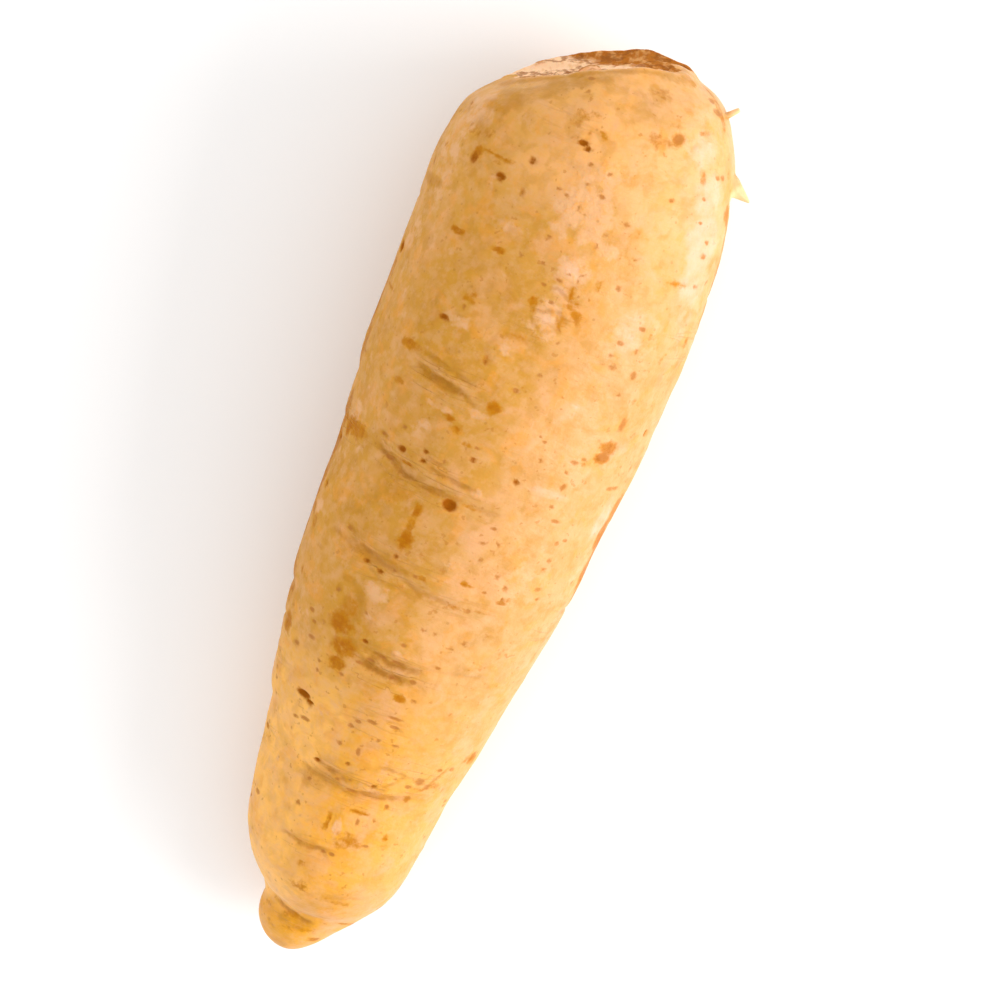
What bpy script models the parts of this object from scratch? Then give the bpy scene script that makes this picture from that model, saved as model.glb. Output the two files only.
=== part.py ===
"""An arracacha root, lying on its side as it would on a table.

The root grew as one piece, so it is one solid. It lies along Y with the crown, where it
was torn off the plant, towards +Y and the tail towards -Y, and it rests on the plane
Z = 0. "Along" is the distance from the crown's end, and an angle round the root is
measured from straight up, positive towards +X. Everything is in metres.
"""

import bisect
import math
import random
from dataclasses import astuple, dataclass

import bmesh
import bpy
from mathutils import Vector, noise

# Overall form
LENGTH = 0.183
THICKNESS_SHARE = 0.94  # thickness over width of a cross-section
TAPER_LEAN = math.radians(5.8)  # the centre line climbs this much towards the thick end

# The scar at the crown, where the root was torn off along a slanting plane
SCAR_CENTRE = Vector((-0.0066, 0.0853, 0.0284))
SCAR_TURN = math.radians(33.0)  # how far it faces to the side
SCAR_TILT = math.radians(6.0)  # how far it faces upwards
SCAR_FLATNESS = 0.86
SCAR_EDGE = 0.0016  # how softly its plane meets the skin
SCAR_HALF_LENGTH = 0.0158
SCAR_HALF_HEIGHT = 0.0112
SCAR_RIM = 0.0011  # height of the ragged rim round it
SCAR_RIM_WIDTH = 0.2  # as a share of the scar's size
SCAR_DEPTH = 0.0010
SCAR_RIDGES = 0.0016
SCAR_RAGGEDNESS = 0.16

# Unevenness of the skin: the size of its waves and their height
BROAD_LUMPS = (0.026, 0.0011)
FINE_LUMPS = (0.0095, 0.00028)
GROWTH_RINGS = (0.011, 0.00035)

# A crease's shelf reaches this far back, in widths of its groove
SHELF_REACH = 7.0

# Mesh density
RINGS = 108
SIDES = 50
CREASE_DENSITY = 2.0  # how much closer the rings stand at creases than between them
CREASE_REACH = 0.0028
CROWN_DENSITY = 0.9  # the same over the crown
CROWN_REACH = 0.034
SAMPLES = 2000  # steps over the skin used to space the rings
SHARP_ANGLE = math.radians(55.0)

# Resting
FLAT_DEPTH = 0.00045  # how far the lowest places are pressed flat
UNDERSIDE_SPAN = math.radians(38.0)
UNDERSIDE_RELIEF = 0.15  # share of the relief left where the root rests

# Rootlet stubs
STUB_SIDES = 8
STUB_FOOT = 0.0012  # how deep the foot of a stub is sunk in the skin
SLIM_END = 0.006  # the relief fades where the root is slimmer than this

SEED = 17
SKIN_COLOUR = (0.84, 0.44, 0.15, 1.0)
SKIN_ROUGHNESS = 0.42


@dataclass(frozen=True)
class Section:
    """A cross-section: where its centre is, and half its width."""

    along: float
    aside: float
    height: float
    half_width: float


@dataclass(frozen=True)
class Crease:
    """A fold across the skin. The skin stands proud on its crown side by a shelf."""

    along: float
    angle: float
    span: float
    slope: float
    bow: float
    depth: float
    width: float
    shelf: float


@dataclass(frozen=True)
class Rootlet:
    """A stub where a side rootlet broke off: a short cone with a rounded end."""

    along: float
    angle: float
    length: float
    base_radius: float
    tip_radius: float
    lean: float


SECTIONS = (
    Section(0.0012, 0.0027, 0.0284, 0.0000),
    Section(0.0015, 0.0027, 0.0283, 0.0062),
    Section(0.0026, 0.0025, 0.0282, 0.0114),
    Section(0.0050, 0.0017, 0.0279, 0.0160),
    Section(0.0088, 0.0001, 0.0274, 0.0202),
    Section(0.0140, -0.0011, 0.0269, 0.0238),
    Section(0.0210, -0.0013, 0.0264, 0.0258),
    Section(0.0290, -0.0010, 0.0261, 0.0272),
    Section(0.0400, -0.0003, 0.0261, 0.0279),
    Section(0.0510, 0.0000, 0.0261, 0.0279),
    Section(0.0610, -0.0001, 0.0257, 0.0274),
    Section(0.0730, 0.0000, 0.0251, 0.0266),
    Section(0.0850, 0.0000, 0.0244, 0.0258),
    Section(0.0970, -0.0002, 0.0238, 0.0252),
    Section(0.1090, 0.0000, 0.0224, 0.0237),
    Section(0.1210, 0.0003, 0.0207, 0.0219),
    Section(0.1330, 0.0003, 0.0189, 0.0199),
    Section(0.1440, 0.0005, 0.0170, 0.0178),
    Section(0.1540, 0.0006, 0.0164, 0.0171),
    Section(0.1610, 0.0010, 0.0156, 0.0160),
    Section(0.1660, 0.0017, 0.0149, 0.0136),
    Section(0.1700, 0.0021, 0.0141, 0.0110),
    Section(0.1725, 0.0019, 0.0134, 0.0094),
    Section(0.1745, 0.0009, 0.0129, 0.0088),
    Section(0.1770, 0.0003, 0.0123, 0.0079),
    Section(0.1795, 0.0000, 0.0118, 0.0062),
    Section(0.1818, 0.0000, 0.0115, 0.0037),
    Section(0.1830, 0.0001, 0.0114, 0.0000),
)

# The creases on the upper side: along, angle, span, slope, bow, depth, width, shelf
UPPER_CREASES = (
    Crease(0.0200, math.radians(-62), math.radians(32), 0.0010, -0.002, 0.0004, 0.0018, 0.0003),
    Crease(0.0604, math.radians(-24), math.radians(25), 0.0031, -0.001, 0.0005, 0.0010, 0.0003),
    Crease(0.0630, math.radians(-25), math.radians(27), 0.0012, -0.001, 0.0007, 0.0010, 0.0005),
    Crease(0.0715, math.radians(-84), math.radians(34), -0.0010, 0.001, 0.0003, 0.0014, 0.0005),
    Crease(0.0782, math.radians(-8), math.radians(24), 0.0028, -0.001, 0.0003, 0.0010, 0.0002),
    Crease(0.0806, math.radians(-18), math.radians(37), 0.0016, -0.002, 0.0008, 0.0011, 0.0007),
    Crease(0.0975, math.radians(-22), math.radians(40), 0.0016, 0.000, 0.0007, 0.0011, 0.0006),
    Crease(0.0998, math.radians(-1), math.radians(27), 0.0024, -0.001, 0.0005, 0.0010, 0.0004),
    Crease(0.1125, math.radians(-85), math.radians(38), -0.0010, 0.001, 0.0005, 0.0014, 0.0005),
    Crease(0.1139, math.radians(-4), math.radians(24), 0.0016, -0.001, 0.0006, 0.0010, 0.0005),
    Crease(0.1130, math.radians(32), math.radians(26), -0.0015, 0.000, 0.0003, 0.0010, 0.0003),
    Crease(0.1164, math.radians(-2), math.radians(32), 0.0000, -0.001, 0.0008, 0.0011, 0.0006),
    Crease(0.1345, math.radians(-86), math.radians(40), -0.0010, 0.001, 0.0005, 0.0013, 0.0006),
    Crease(0.1390, math.radians(-10), math.radians(24), 0.0005, -0.001, 0.0005, 0.0010, 0.0004),
    Crease(0.1415, math.radians(2), math.radians(50), -0.0004, -0.001, 0.0009, 0.0012, 0.0006),
    Crease(0.1550, math.radians(-12), math.radians(34), 0.0000, -0.001, 0.0006, 0.0010, 0.0004),
    Crease(0.1714, math.radians(-12), math.radians(120), 0.0006, -0.006, 0.0009, 0.0011, 0.0003),
)

# The same growth rings crease the underside too, at angles drawn at random
RING_PLACES = (0.020, 0.041, 0.062, 0.080, 0.098, 0.114, 0.127, 0.141, 0.155)
HIDDEN_PER_RING = 2

ROOTLETS = (
    Rootlet(0.0052, math.radians(88), 0.0023, 0.0007, 0.0005, -1.10),
    Rootlet(0.0166, math.radians(88), 0.0042, 0.0025, 0.0002, 0.38),
    Rootlet(0.0530, math.radians(152), 0.0026, 0.0011, 0.0006, 0.30),
    Rootlet(0.0950, math.radians(-118), 0.0030, 0.0011, 0.0004, 0.50),
    Rootlet(0.1390, math.radians(128), 0.0024, 0.0009, 0.0005, 0.40),
)


def clear_scene():
    """Removes every object of the startup scene."""
    for obj in list(bpy.data.objects):
        bpy.data.objects.remove(obj)


def fade(distance, reach):
    """1 at no distance, falling smoothly to 0 at the reach."""
    share = min(1.0, abs(distance) / reach)
    return (1.0 - share * share) ** 2


def turned(angle, origin):
    """The angle from the origin, wrapped to within half a turn."""
    return (angle - origin + math.pi) % (2.0 * math.pi) - math.pi


def section_runs():
    """The distance over the skin from the crown's middle to each section."""
    runs = [0.0]
    for before, after in zip(SECTIONS, SECTIONS[1:]):
        step = math.hypot(after.along - before.along, after.half_width - before.half_width)
        runs.append(runs[-1] + step)
    return runs


RUNS = section_runs()


def section_at(run):
    """The section at a distance over the skin, on a smooth curve through SECTIONS."""
    last = len(SECTIONS) - 1
    i = min(max(bisect.bisect_right(RUNS, run) - 1, 0), last - 1)
    span = RUNS[i + 1] - RUNS[i]
    t = (run - RUNS[i]) / span

    def slope(k, row):
        low, high = max(k - 1, 0), min(k + 1, last)
        return (row[high] - row[low]) / (RUNS[high] - RUNS[low])

    values = []
    for row in zip(*(astuple(section) for section in SECTIONS)):
        start, end = row[i], row[i + 1]
        values.append(
            (2 * t**3 - 3 * t**2 + 1) * start
            + (t**3 - 2 * t**2 + t) * span * slope(i, row)
            + (3 * t**2 - 2 * t**3) * end
            + (t**3 - t**2) * span * slope(i + 1, row)
        )
    return Section(*values)


def hidden_creases():
    """Creases on the lower sides and the underside, on the same growth rings."""
    draw = random.Random(SEED)
    creases = []
    for along in RING_PLACES:
        for side in range(HIDDEN_PER_RING):
            middle = math.radians(draw.uniform(112, 168)) * (1 if side else -1)
            creases.append(
                Crease(
                    along=along + draw.uniform(-0.003, 0.003),
                    angle=middle,
                    span=math.radians(draw.uniform(26, 52)),
                    slope=draw.uniform(-0.002, 0.002),
                    bow=draw.uniform(-0.002, 0.001),
                    depth=draw.uniform(0.0004, 0.0008),
                    width=draw.uniform(0.0010, 0.0014),
                    shelf=draw.uniform(0.0002, 0.0006),
                )
            )
    return creases


def run_at(along):
    """The distance over the skin to the section at a distance along the root."""
    places = [section_at(RUNS[-1] * k / SAMPLES).along for k in range(SAMPLES + 1)]
    return RUNS[-1] * bisect.bisect_left(places, along) / SAMPLES


def ring_runs(creases):
    """Where the rings of the mesh stand: closer at the creases and over the crown."""
    weights = [0.0]
    for k in range(SAMPLES):
        run = RUNS[-1] * (k + 0.5) / SAMPLES
        along = section_at(run).along
        near = max(fade(along - crease.along, CREASE_REACH) for crease in creases)
        weight = 1.0 + CREASE_DENSITY * near + CROWN_DENSITY * fade(run, CROWN_REACH)
        weights.append(weights[-1] + weight)
    runs = []
    for ring in range(1, RINGS):
        wanted = weights[-1] * ring / RINGS
        k = bisect.bisect_left(weights, wanted)
        part = (wanted - weights[k - 1]) / (weights[k] - weights[k - 1])
        runs.append(RUNS[-1] * (k - 1 + part) / SAMPLES)
    return runs


def scar_axes():
    """The scar's outward direction, and the directions of its length and height."""
    outward = Vector(
        (
            -math.sin(SCAR_TURN) * math.cos(SCAR_TILT),
            math.cos(SCAR_TURN) * math.cos(SCAR_TILT),
            math.sin(SCAR_TILT),
        )
    )
    lengthwise = Vector((math.cos(SCAR_TURN), math.sin(SCAR_TURN), 0.0))
    return outward, lengthwise, lengthwise.cross(outward)


SCAR_OUTWARD, SCAR_LENGTHWISE, SCAR_UPWARDS = scar_axes()


def skin_point(run, angle):
    """A point of the form before its lumps and creases, with the scar's plane cut."""
    section = section_at(run)
    point = Vector(
        (
            section.aside + math.sin(angle) * section.half_width,
            LENGTH / 2 - section.along,
            section.height,
        )
    )
    upwards = Vector((0.0, -math.sin(TAPER_LEAN), math.cos(TAPER_LEAN)))
    point += upwards * (math.cos(angle) * section.half_width * THICKNESS_SHARE)
    beyond = (point - SCAR_CENTRE).dot(SCAR_OUTWARD)
    pressed = (beyond + math.hypot(beyond, SCAR_EDGE)) / 2
    return point - SCAR_OUTWARD * (pressed * SCAR_FLATNESS)


def lumps(point):
    """The slow swellings of the root, the finer unevenness of its skin and its rings."""
    broad = noise.noise(point / BROAD_LUMPS[0] + Vector((3.1, 7.7, 1.3)))
    fine = noise.noise(point / FINE_LUMPS[0] + Vector((9.2, 0.4, 5.5)))
    ringed = noise.noise(Vector((0.5, point.y / GROWTH_RINGS[0], 2.0)))
    return BROAD_LUMPS[1] * broad + FINE_LUMPS[1] * fine + GROWTH_RINGS[1] * ringed


def fold(crease, along, angle):
    """How far one crease moves the skin out, negative in its groove."""
    off = turned(angle, crease.angle)
    share = abs(off) / crease.span
    if share >= 1.0:
        return 0.0
    line = crease.along + crease.slope * off + crease.bow * share * share
    beyond = (along - line) / crease.width
    groove = crease.depth * math.exp(-beyond * beyond)
    step = crease.shelf * math.exp(beyond / SHELF_REACH) if beyond < 0.0 else 0.0
    return (step * min(1.0, -beyond) - groove) * fade(share, 1.0)


def scar_relief(point):
    """The torn face of the crown: a raised ragged rim, and ridges of skin inside it."""
    offset = point - SCAR_CENTRE
    if offset.dot(SCAR_OUTWARD) < -SCAR_HALF_HEIGHT / 2:
        return 0.0
    lengthwise = offset.dot(SCAR_LENGTHWISE) / SCAR_HALF_LENGTH
    upwards = offset.dot(SCAR_UPWARDS) / SCAR_HALF_HEIGHT
    ragged = noise.noise(Vector((lengthwise * 2.2, upwards * 2.2, 4.0)))
    radius = math.hypot(lengthwise, upwards) + SCAR_RAGGEDNESS * ragged
    rim = SCAR_RIM * (1.0 + ragged) * math.exp(-(((radius - 1.0) / SCAR_RIM_WIDTH) ** 2))
    dish = -SCAR_DEPTH * fade(radius, 1.0)
    ridge = noise.noise(Vector((lengthwise * 1.6, upwards * 5.0, 7.5)))
    return rim + dish + SCAR_RIDGES * abs(ridge) * fade(radius, 1.1)


def relief(point, run, angle, creases):
    """How far the skin stands out from the plain form at a point."""
    section = section_at(run)
    lifted = lumps(point) + sum(fold(crease, section.along, angle) for crease in creases)
    below = fade(turned(angle, math.pi), UNDERSIDE_SPAN)
    resting = 1.0 - (1.0 - UNDERSIDE_RELIEF) * below
    slim = min(1.0, section.half_width / SLIM_END)
    return lifted * resting * slim + scar_relief(point)


def make_body():
    """The root without its rootlets, as a mesh object."""
    creases = [*UPPER_CREASES, *hidden_creases()]
    runs = [0.0, *ring_runs(creases), RUNS[-1]]
    body = bmesh.new()
    bmesh.ops.create_uvsphere(body, u_segments=SIDES, v_segments=RINGS, radius=1.0)
    places = {}
    for vert in body.verts:
        ring = round(math.acos(max(-1.0, min(1.0, vert.co.z))) / math.pi * RINGS)
        places[vert] = (runs[ring], math.atan2(vert.co.x, -vert.co.y))
        vert.co = skin_point(*places[vert])
    bmesh.ops.recalc_face_normals(body, faces=body.faces)
    body.normal_update()
    normals = {vert: vert.normal.copy() for vert in body.verts}
    for vert, (run, angle) in places.items():
        vert.co += normals[vert] * relief(vert.co, run, angle, creases)
    return mesh_object("arracacha_root", body)


def mesh_object(name, shape):
    """A smooth-shaded object of a bmesh, in the scene."""
    mesh = bpy.data.meshes.new(name)
    shape.to_mesh(mesh)
    shape.free()
    mesh.shade_smooth()
    mesh.set_sharp_from_angle(angle=SHARP_ANGLE)
    obj = bpy.data.objects.new(name, mesh)
    bpy.context.scene.collection.objects.link(obj)
    return obj


def make_rootlet(rootlet, number):
    """One stub, with its foot sunk into the skin."""
    run = run_at(rootlet.along)
    foot = skin_point(run, rootlet.angle)
    middle = section_at(run)
    outward = (foot - Vector((middle.aside, foot.y, middle.height))).normalized()
    direction = (outward - Vector((0.0, rootlet.lean, 0.0))).normalized()
    stub = bmesh.new()
    bmesh.ops.create_cone(
        stub,
        cap_ends=True,
        segments=STUB_SIDES,
        radius1=rootlet.base_radius,
        radius2=rootlet.tip_radius,
        depth=rootlet.length + STUB_FOOT,
    )
    turn = direction.to_track_quat("Z", "Y")
    middle_height = (rootlet.length - STUB_FOOT) / 2
    for vert in stub.verts:
        vert.co = foot + turn @ (vert.co + Vector((0.0, 0.0, middle_height)))
    return mesh_object(f"rootlet_{number}", stub)


def add_rootlets(root):
    """Joins the stubs to the root with one union."""
    stubs = bpy.data.collections.new("rootlets")
    bpy.context.scene.collection.children.link(stubs)
    for number, rootlet in enumerate(ROOTLETS, start=1):
        stub = make_rootlet(rootlet, number)
        bpy.context.scene.collection.objects.unlink(stub)
        stubs.objects.link(stub)
    union = root.modifiers.new("rootlets", "BOOLEAN")
    union.operation = "UNION"
    union.operand_type = "COLLECTION"
    union.collection = stubs
    union.solver = "EXACT"
    bpy.context.view_layer.update()
    joined = bpy.data.meshes.new_from_object(
        root.evaluated_get(bpy.context.evaluated_depsgraph_get())
    )
    root.modifiers.clear()
    root.data = joined
    for stub in list(stubs.objects):
        bpy.data.objects.remove(stub)
    bpy.data.collections.remove(stubs)


def settle(root):
    """Presses the lowest places flat on Z = 0, and centres the root over the origin."""
    corners = [vert.co.copy() for vert in root.data.vertices]
    lowest = min(corner.z for corner in corners) + FLAT_DEPTH
    middle = Vector(
        (max(corner[axis] for corner in corners) + min(corner[axis] for corner in corners)) / 2
        for axis in range(2)
    )
    for vert in root.data.vertices:
        vert.co.x -= middle.x
        vert.co.y -= middle.y
        vert.co.z = max(0.0, vert.co.z - lowest)


def skin_material():
    """Pale yellow skin, slightly glossy."""
    material = bpy.data.materials.new("arracacha_skin")
    material.use_nodes = True
    shader = material.node_tree.nodes["Principled BSDF"]
    shader.inputs["Base Color"].default_value = SKIN_COLOUR
    shader.inputs["Roughness"].default_value = SKIN_ROUGHNESS
    shader.inputs["Metallic"].default_value = 0.0
    return material


def main():
    """Builds the root."""
    clear_scene()
    root = make_body()
    add_rootlets(root)
    settle(root)
    root.data.materials.clear()
    root.data.materials.append(skin_material())


main()
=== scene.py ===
"""The look of an arracacha root lying on its side, seen from above on a pale table.

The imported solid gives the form. Its surface is refined here, and the skin's pits, folds,
stains and scuffs are laid on it. "Along" is the distance from the crown's end in
millimetres, and an angle round the root is in degrees from straight up, positive
towards +X.
"""

import logging
import math
import random
from dataclasses import dataclass, field, replace
from enum import Enum
from typing import Iterable, Sequence

import bmesh
import bpy
import numpy as np
from mathutils import Matrix, Vector, noise

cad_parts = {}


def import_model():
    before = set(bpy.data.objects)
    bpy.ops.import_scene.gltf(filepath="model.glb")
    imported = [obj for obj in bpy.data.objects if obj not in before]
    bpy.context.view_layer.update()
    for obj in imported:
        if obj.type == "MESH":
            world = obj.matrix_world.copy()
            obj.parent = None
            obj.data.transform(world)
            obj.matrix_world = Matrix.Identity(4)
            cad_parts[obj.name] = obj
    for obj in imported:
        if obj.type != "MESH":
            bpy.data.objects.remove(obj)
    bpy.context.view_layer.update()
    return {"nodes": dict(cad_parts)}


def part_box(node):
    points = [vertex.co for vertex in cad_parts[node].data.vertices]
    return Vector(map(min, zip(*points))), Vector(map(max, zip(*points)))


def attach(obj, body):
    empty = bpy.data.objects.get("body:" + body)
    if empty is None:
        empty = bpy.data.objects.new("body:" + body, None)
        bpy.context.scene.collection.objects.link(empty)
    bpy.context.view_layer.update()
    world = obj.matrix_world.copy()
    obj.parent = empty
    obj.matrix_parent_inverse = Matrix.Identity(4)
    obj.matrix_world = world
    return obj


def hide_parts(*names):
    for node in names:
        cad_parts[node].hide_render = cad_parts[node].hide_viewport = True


NODE = "arracacha_root"
BODY = "root"
MM = 0.001
SEED = 23
FULL_TURN = 360.0
VISIBLE_ANGLE = 68.0  # marks beyond this angle from straight up are drawn at random
HIDDEN_ALONG = (14.0, 172.0)  # where those are drawn
FAR = 4.0  # a distance in half widths at which a line no longer shows

log = logging.getLogger("arracacha")

Span = tuple[float, float]
Triple = tuple[float, float, float]
Place = tuple[float, float]
Colour = Triple


class Layer(Enum):
    """What the skin's vertices carry, as the name of a mesh attribute."""

    SIDE = "side"  # -1 on the left of the root, 1 on its right
    PIT = "pit"
    DOT = "dot"
    # stains, and the painted shade of the dents at the right edge
    STAIN = "stain"
    # rust spots, and painted shade bands along the outline
    RUST = "rust"
    SCUFF = "scuff"
    # pale patches of painted highlight and painted reflected light
    PAINTED_HIGHLIGHT = "painted_highlight"
    # painted olive shade
    PAINTED_SHADE = "olive"
    WRINKLE = "wrinkle"
    FOLD = "fold"
    FOLD_SIDE = "fold_side"  # signed distance from the nearest fold, in half widths
    LIP = "lip"
    LIP_SIDE = "lip_side"  # the same for the nearest pale raised lip
    SCAR = "scar"
    SCAR_HEIGHT = "scar_height"  # -1 at the scar's lower rim, 1 at its upper rim
    SCAR_LENGTH = "scar_length"  # -1 at its left end, 1 at its right end
    ROOTLET = "sprout"


@dataclass(frozen=True)
class MarkStyle:
    """How one kind of mark changes the skin.

    Args:
        layer: The attribute the mark is written to.
        depth: How deep its middle sinks, in millimetres.
        rim: The height of a swollen rim round it, in millimetres.
        hidden_share: How many are drawn on the hidden sides for each listed one.
    """

    layer: Layer
    depth: float = 0.0
    rim: float = 0.0
    hidden_share: float = 1.7


PIT = MarkStyle(Layer.PIT, depth=0.42, rim=0.08)
DOT = MarkStyle(Layer.DOT, depth=0.08, rim=0.03)
# A shallow dent whose dark colour is painted shade, written to the stain layer.
PAINTED_SHADE_DENT = MarkStyle(Layer.STAIN, depth=0.1, hidden_share=0.0)
# Painted shade along the root's outline, written to the rust layer.
PAINTED_EDGE_SHADE = MarkStyle(Layer.RUST, hidden_share=0.0)
STAIN = MarkStyle(Layer.STAIN, depth=0.04, rim=0.02)
RUST = MarkStyle(Layer.RUST, depth=0.05, rim=0.03)
SCUFF = MarkStyle(Layer.SCUFF, depth=0.03, rim=0.03)
# Painted highlight: pale pinkish patches that stand in for the key light's sheen and for light
# reflected from the table.
PAINTED_HIGHLIGHT = MarkStyle(Layer.PAINTED_HIGHLIGHT, hidden_share=0.7)
# Painted shade: olive-brown darkening away from the key light and in the groove beside the scar's rim.
PAINTED_SHADE = MarkStyle(Layer.PAINTED_SHADE, depth=0.06)
WRINKLE = MarkStyle(Layer.WRINKLE, hidden_share=2.5)


@dataclass(frozen=True)
class Mark:
    """A roughly oval mark on the skin.

    Args:
        along: In millimetres.
        angle: In degrees.
        wide: Its width as seen from straight above, in millimetres.
        long: Its length along the root, in millimetres.
        strength: How strongly it shows.
    """

    along: float
    angle: float
    wide: float
    long: float
    strength: float = 1.0


@dataclass(frozen=True)
class Line:
    """A fold, crack or scratch, drawn through places on the skin.

    Args:
        places: Along and angle of each point of the line.
        width: In millimetres.
        depth: Depth of the groove, in millimetres. A negative one is a pale raised lip.
        strength: How strongly it shows.
    """

    places: tuple[Place, ...]
    width: float
    depth: float
    strength: float = 1.0


@dataclass(frozen=True)
class RingLines:
    """Grooves drawn at random along each growth ring, on the sides out of sight.

    Args:
        count: How many each ring has.
        span: The shortest and the longest, in degrees.
        margin: How far before the visible side the last one starts, in degrees.
        scatter: How far from its ring one lies, as a standard deviation in millimetres.
        waver: How far each of its points strays, in millimetres.
        points: How many points one has.
        depth: The shallowest and the deepest, in millimetres.
        width: The narrowest and the widest, in millimetres.
        shown: How strongly one shows for each millimetre of depth.
    """

    count: int = 7
    span: Span = (14.0, 40.0)
    margin: float = 30.0
    scatter: float = 2.6
    waver: float = 0.6
    points: int = 4
    depth: Span = (0.08, 0.3)
    width: Span = (0.5, 0.8)
    shown: float = 2.6


@dataclass(frozen=True)
class Rootlet:
    """The paler skin of a rootlet beside the crown, in millimetres.

    Args:
        foot: The middle of its foot.
        tip: Its tip.
        radius: How far from its axis the paler skin reaches.
    """

    foot: Triple
    tip: Triple
    radius: float


@dataclass(frozen=True)
class Flake:
    """A strip of torn skin that stands out from the scar's upper rim, in millimetres.

    Args:
        start: Where it begins on the scar's length.
        end: Where it ends.
        reach: How far it stands out.
        rise: How far its free edge curls up.
        drop: How far below the rim it is rooted.
    """

    start: float
    end: float
    reach: float
    rise: float
    drop: float = 0.0


# Places of the marks on the upper side, read off the photo

PITS = (
    Mark(18.2, -10, 1.9, 1.1),
    Mark(18.9, -7, 1.1, 0.9),
    Mark(24.3, -23, 1.1, 1.4, 0.8),
    Mark(27.9, -48, 1.1, 2.2, 0.8),
    Mark(28.9, -33, 1.8, 1.3),
    Mark(29.9, -22, 0.9, 1.8, 0.5),
    Mark(55, -34, 1.9, 1, 0.9),
    Mark(58.9, -12, 1, 1.8, 0.6),
    Mark(61.9, 3, 1.2, 1, 0.6),
    Mark(76.1, -3, 1.2, 1.1, 0.7),
    Mark(77, 17, 1.2, 1, 0.8),
    Mark(78.1, -22, 1.2, 0.8, 0.8),
    Mark(79.6, -33, 1.5, 1.2),
    Mark(79.9, -22, 1, 0.8, 0.8),
    Mark(85.3, -5, 2.5, 2, 1.3),
    Mark(97.7, -18, 1, 1, 0.7),
    Mark(100.9, -31, 1.1, 0.9, 0.8),
    Mark(101.6, -23, 1.2, 0.9, 0.8),
    Mark(96.2, 32, 1, 0.9, 0.6),
    Mark(98.4, 33, 0.6, 1.2, 0.6),
    Mark(114.6, -17, 1.2, 0.9, 0.7),
    Mark(130, -45, 2.4, 1.2, 1.3),
    Mark(130.8, -39, 1.5, 0.7, 1.1),
    Mark(138.4, -5, 1, 0.9, 0.6),
    Mark(140.6, -25, 1.1, 0.8, 0.8),
    Mark(140.9, 15, 1, 0.8, 0.7),
)

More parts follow.
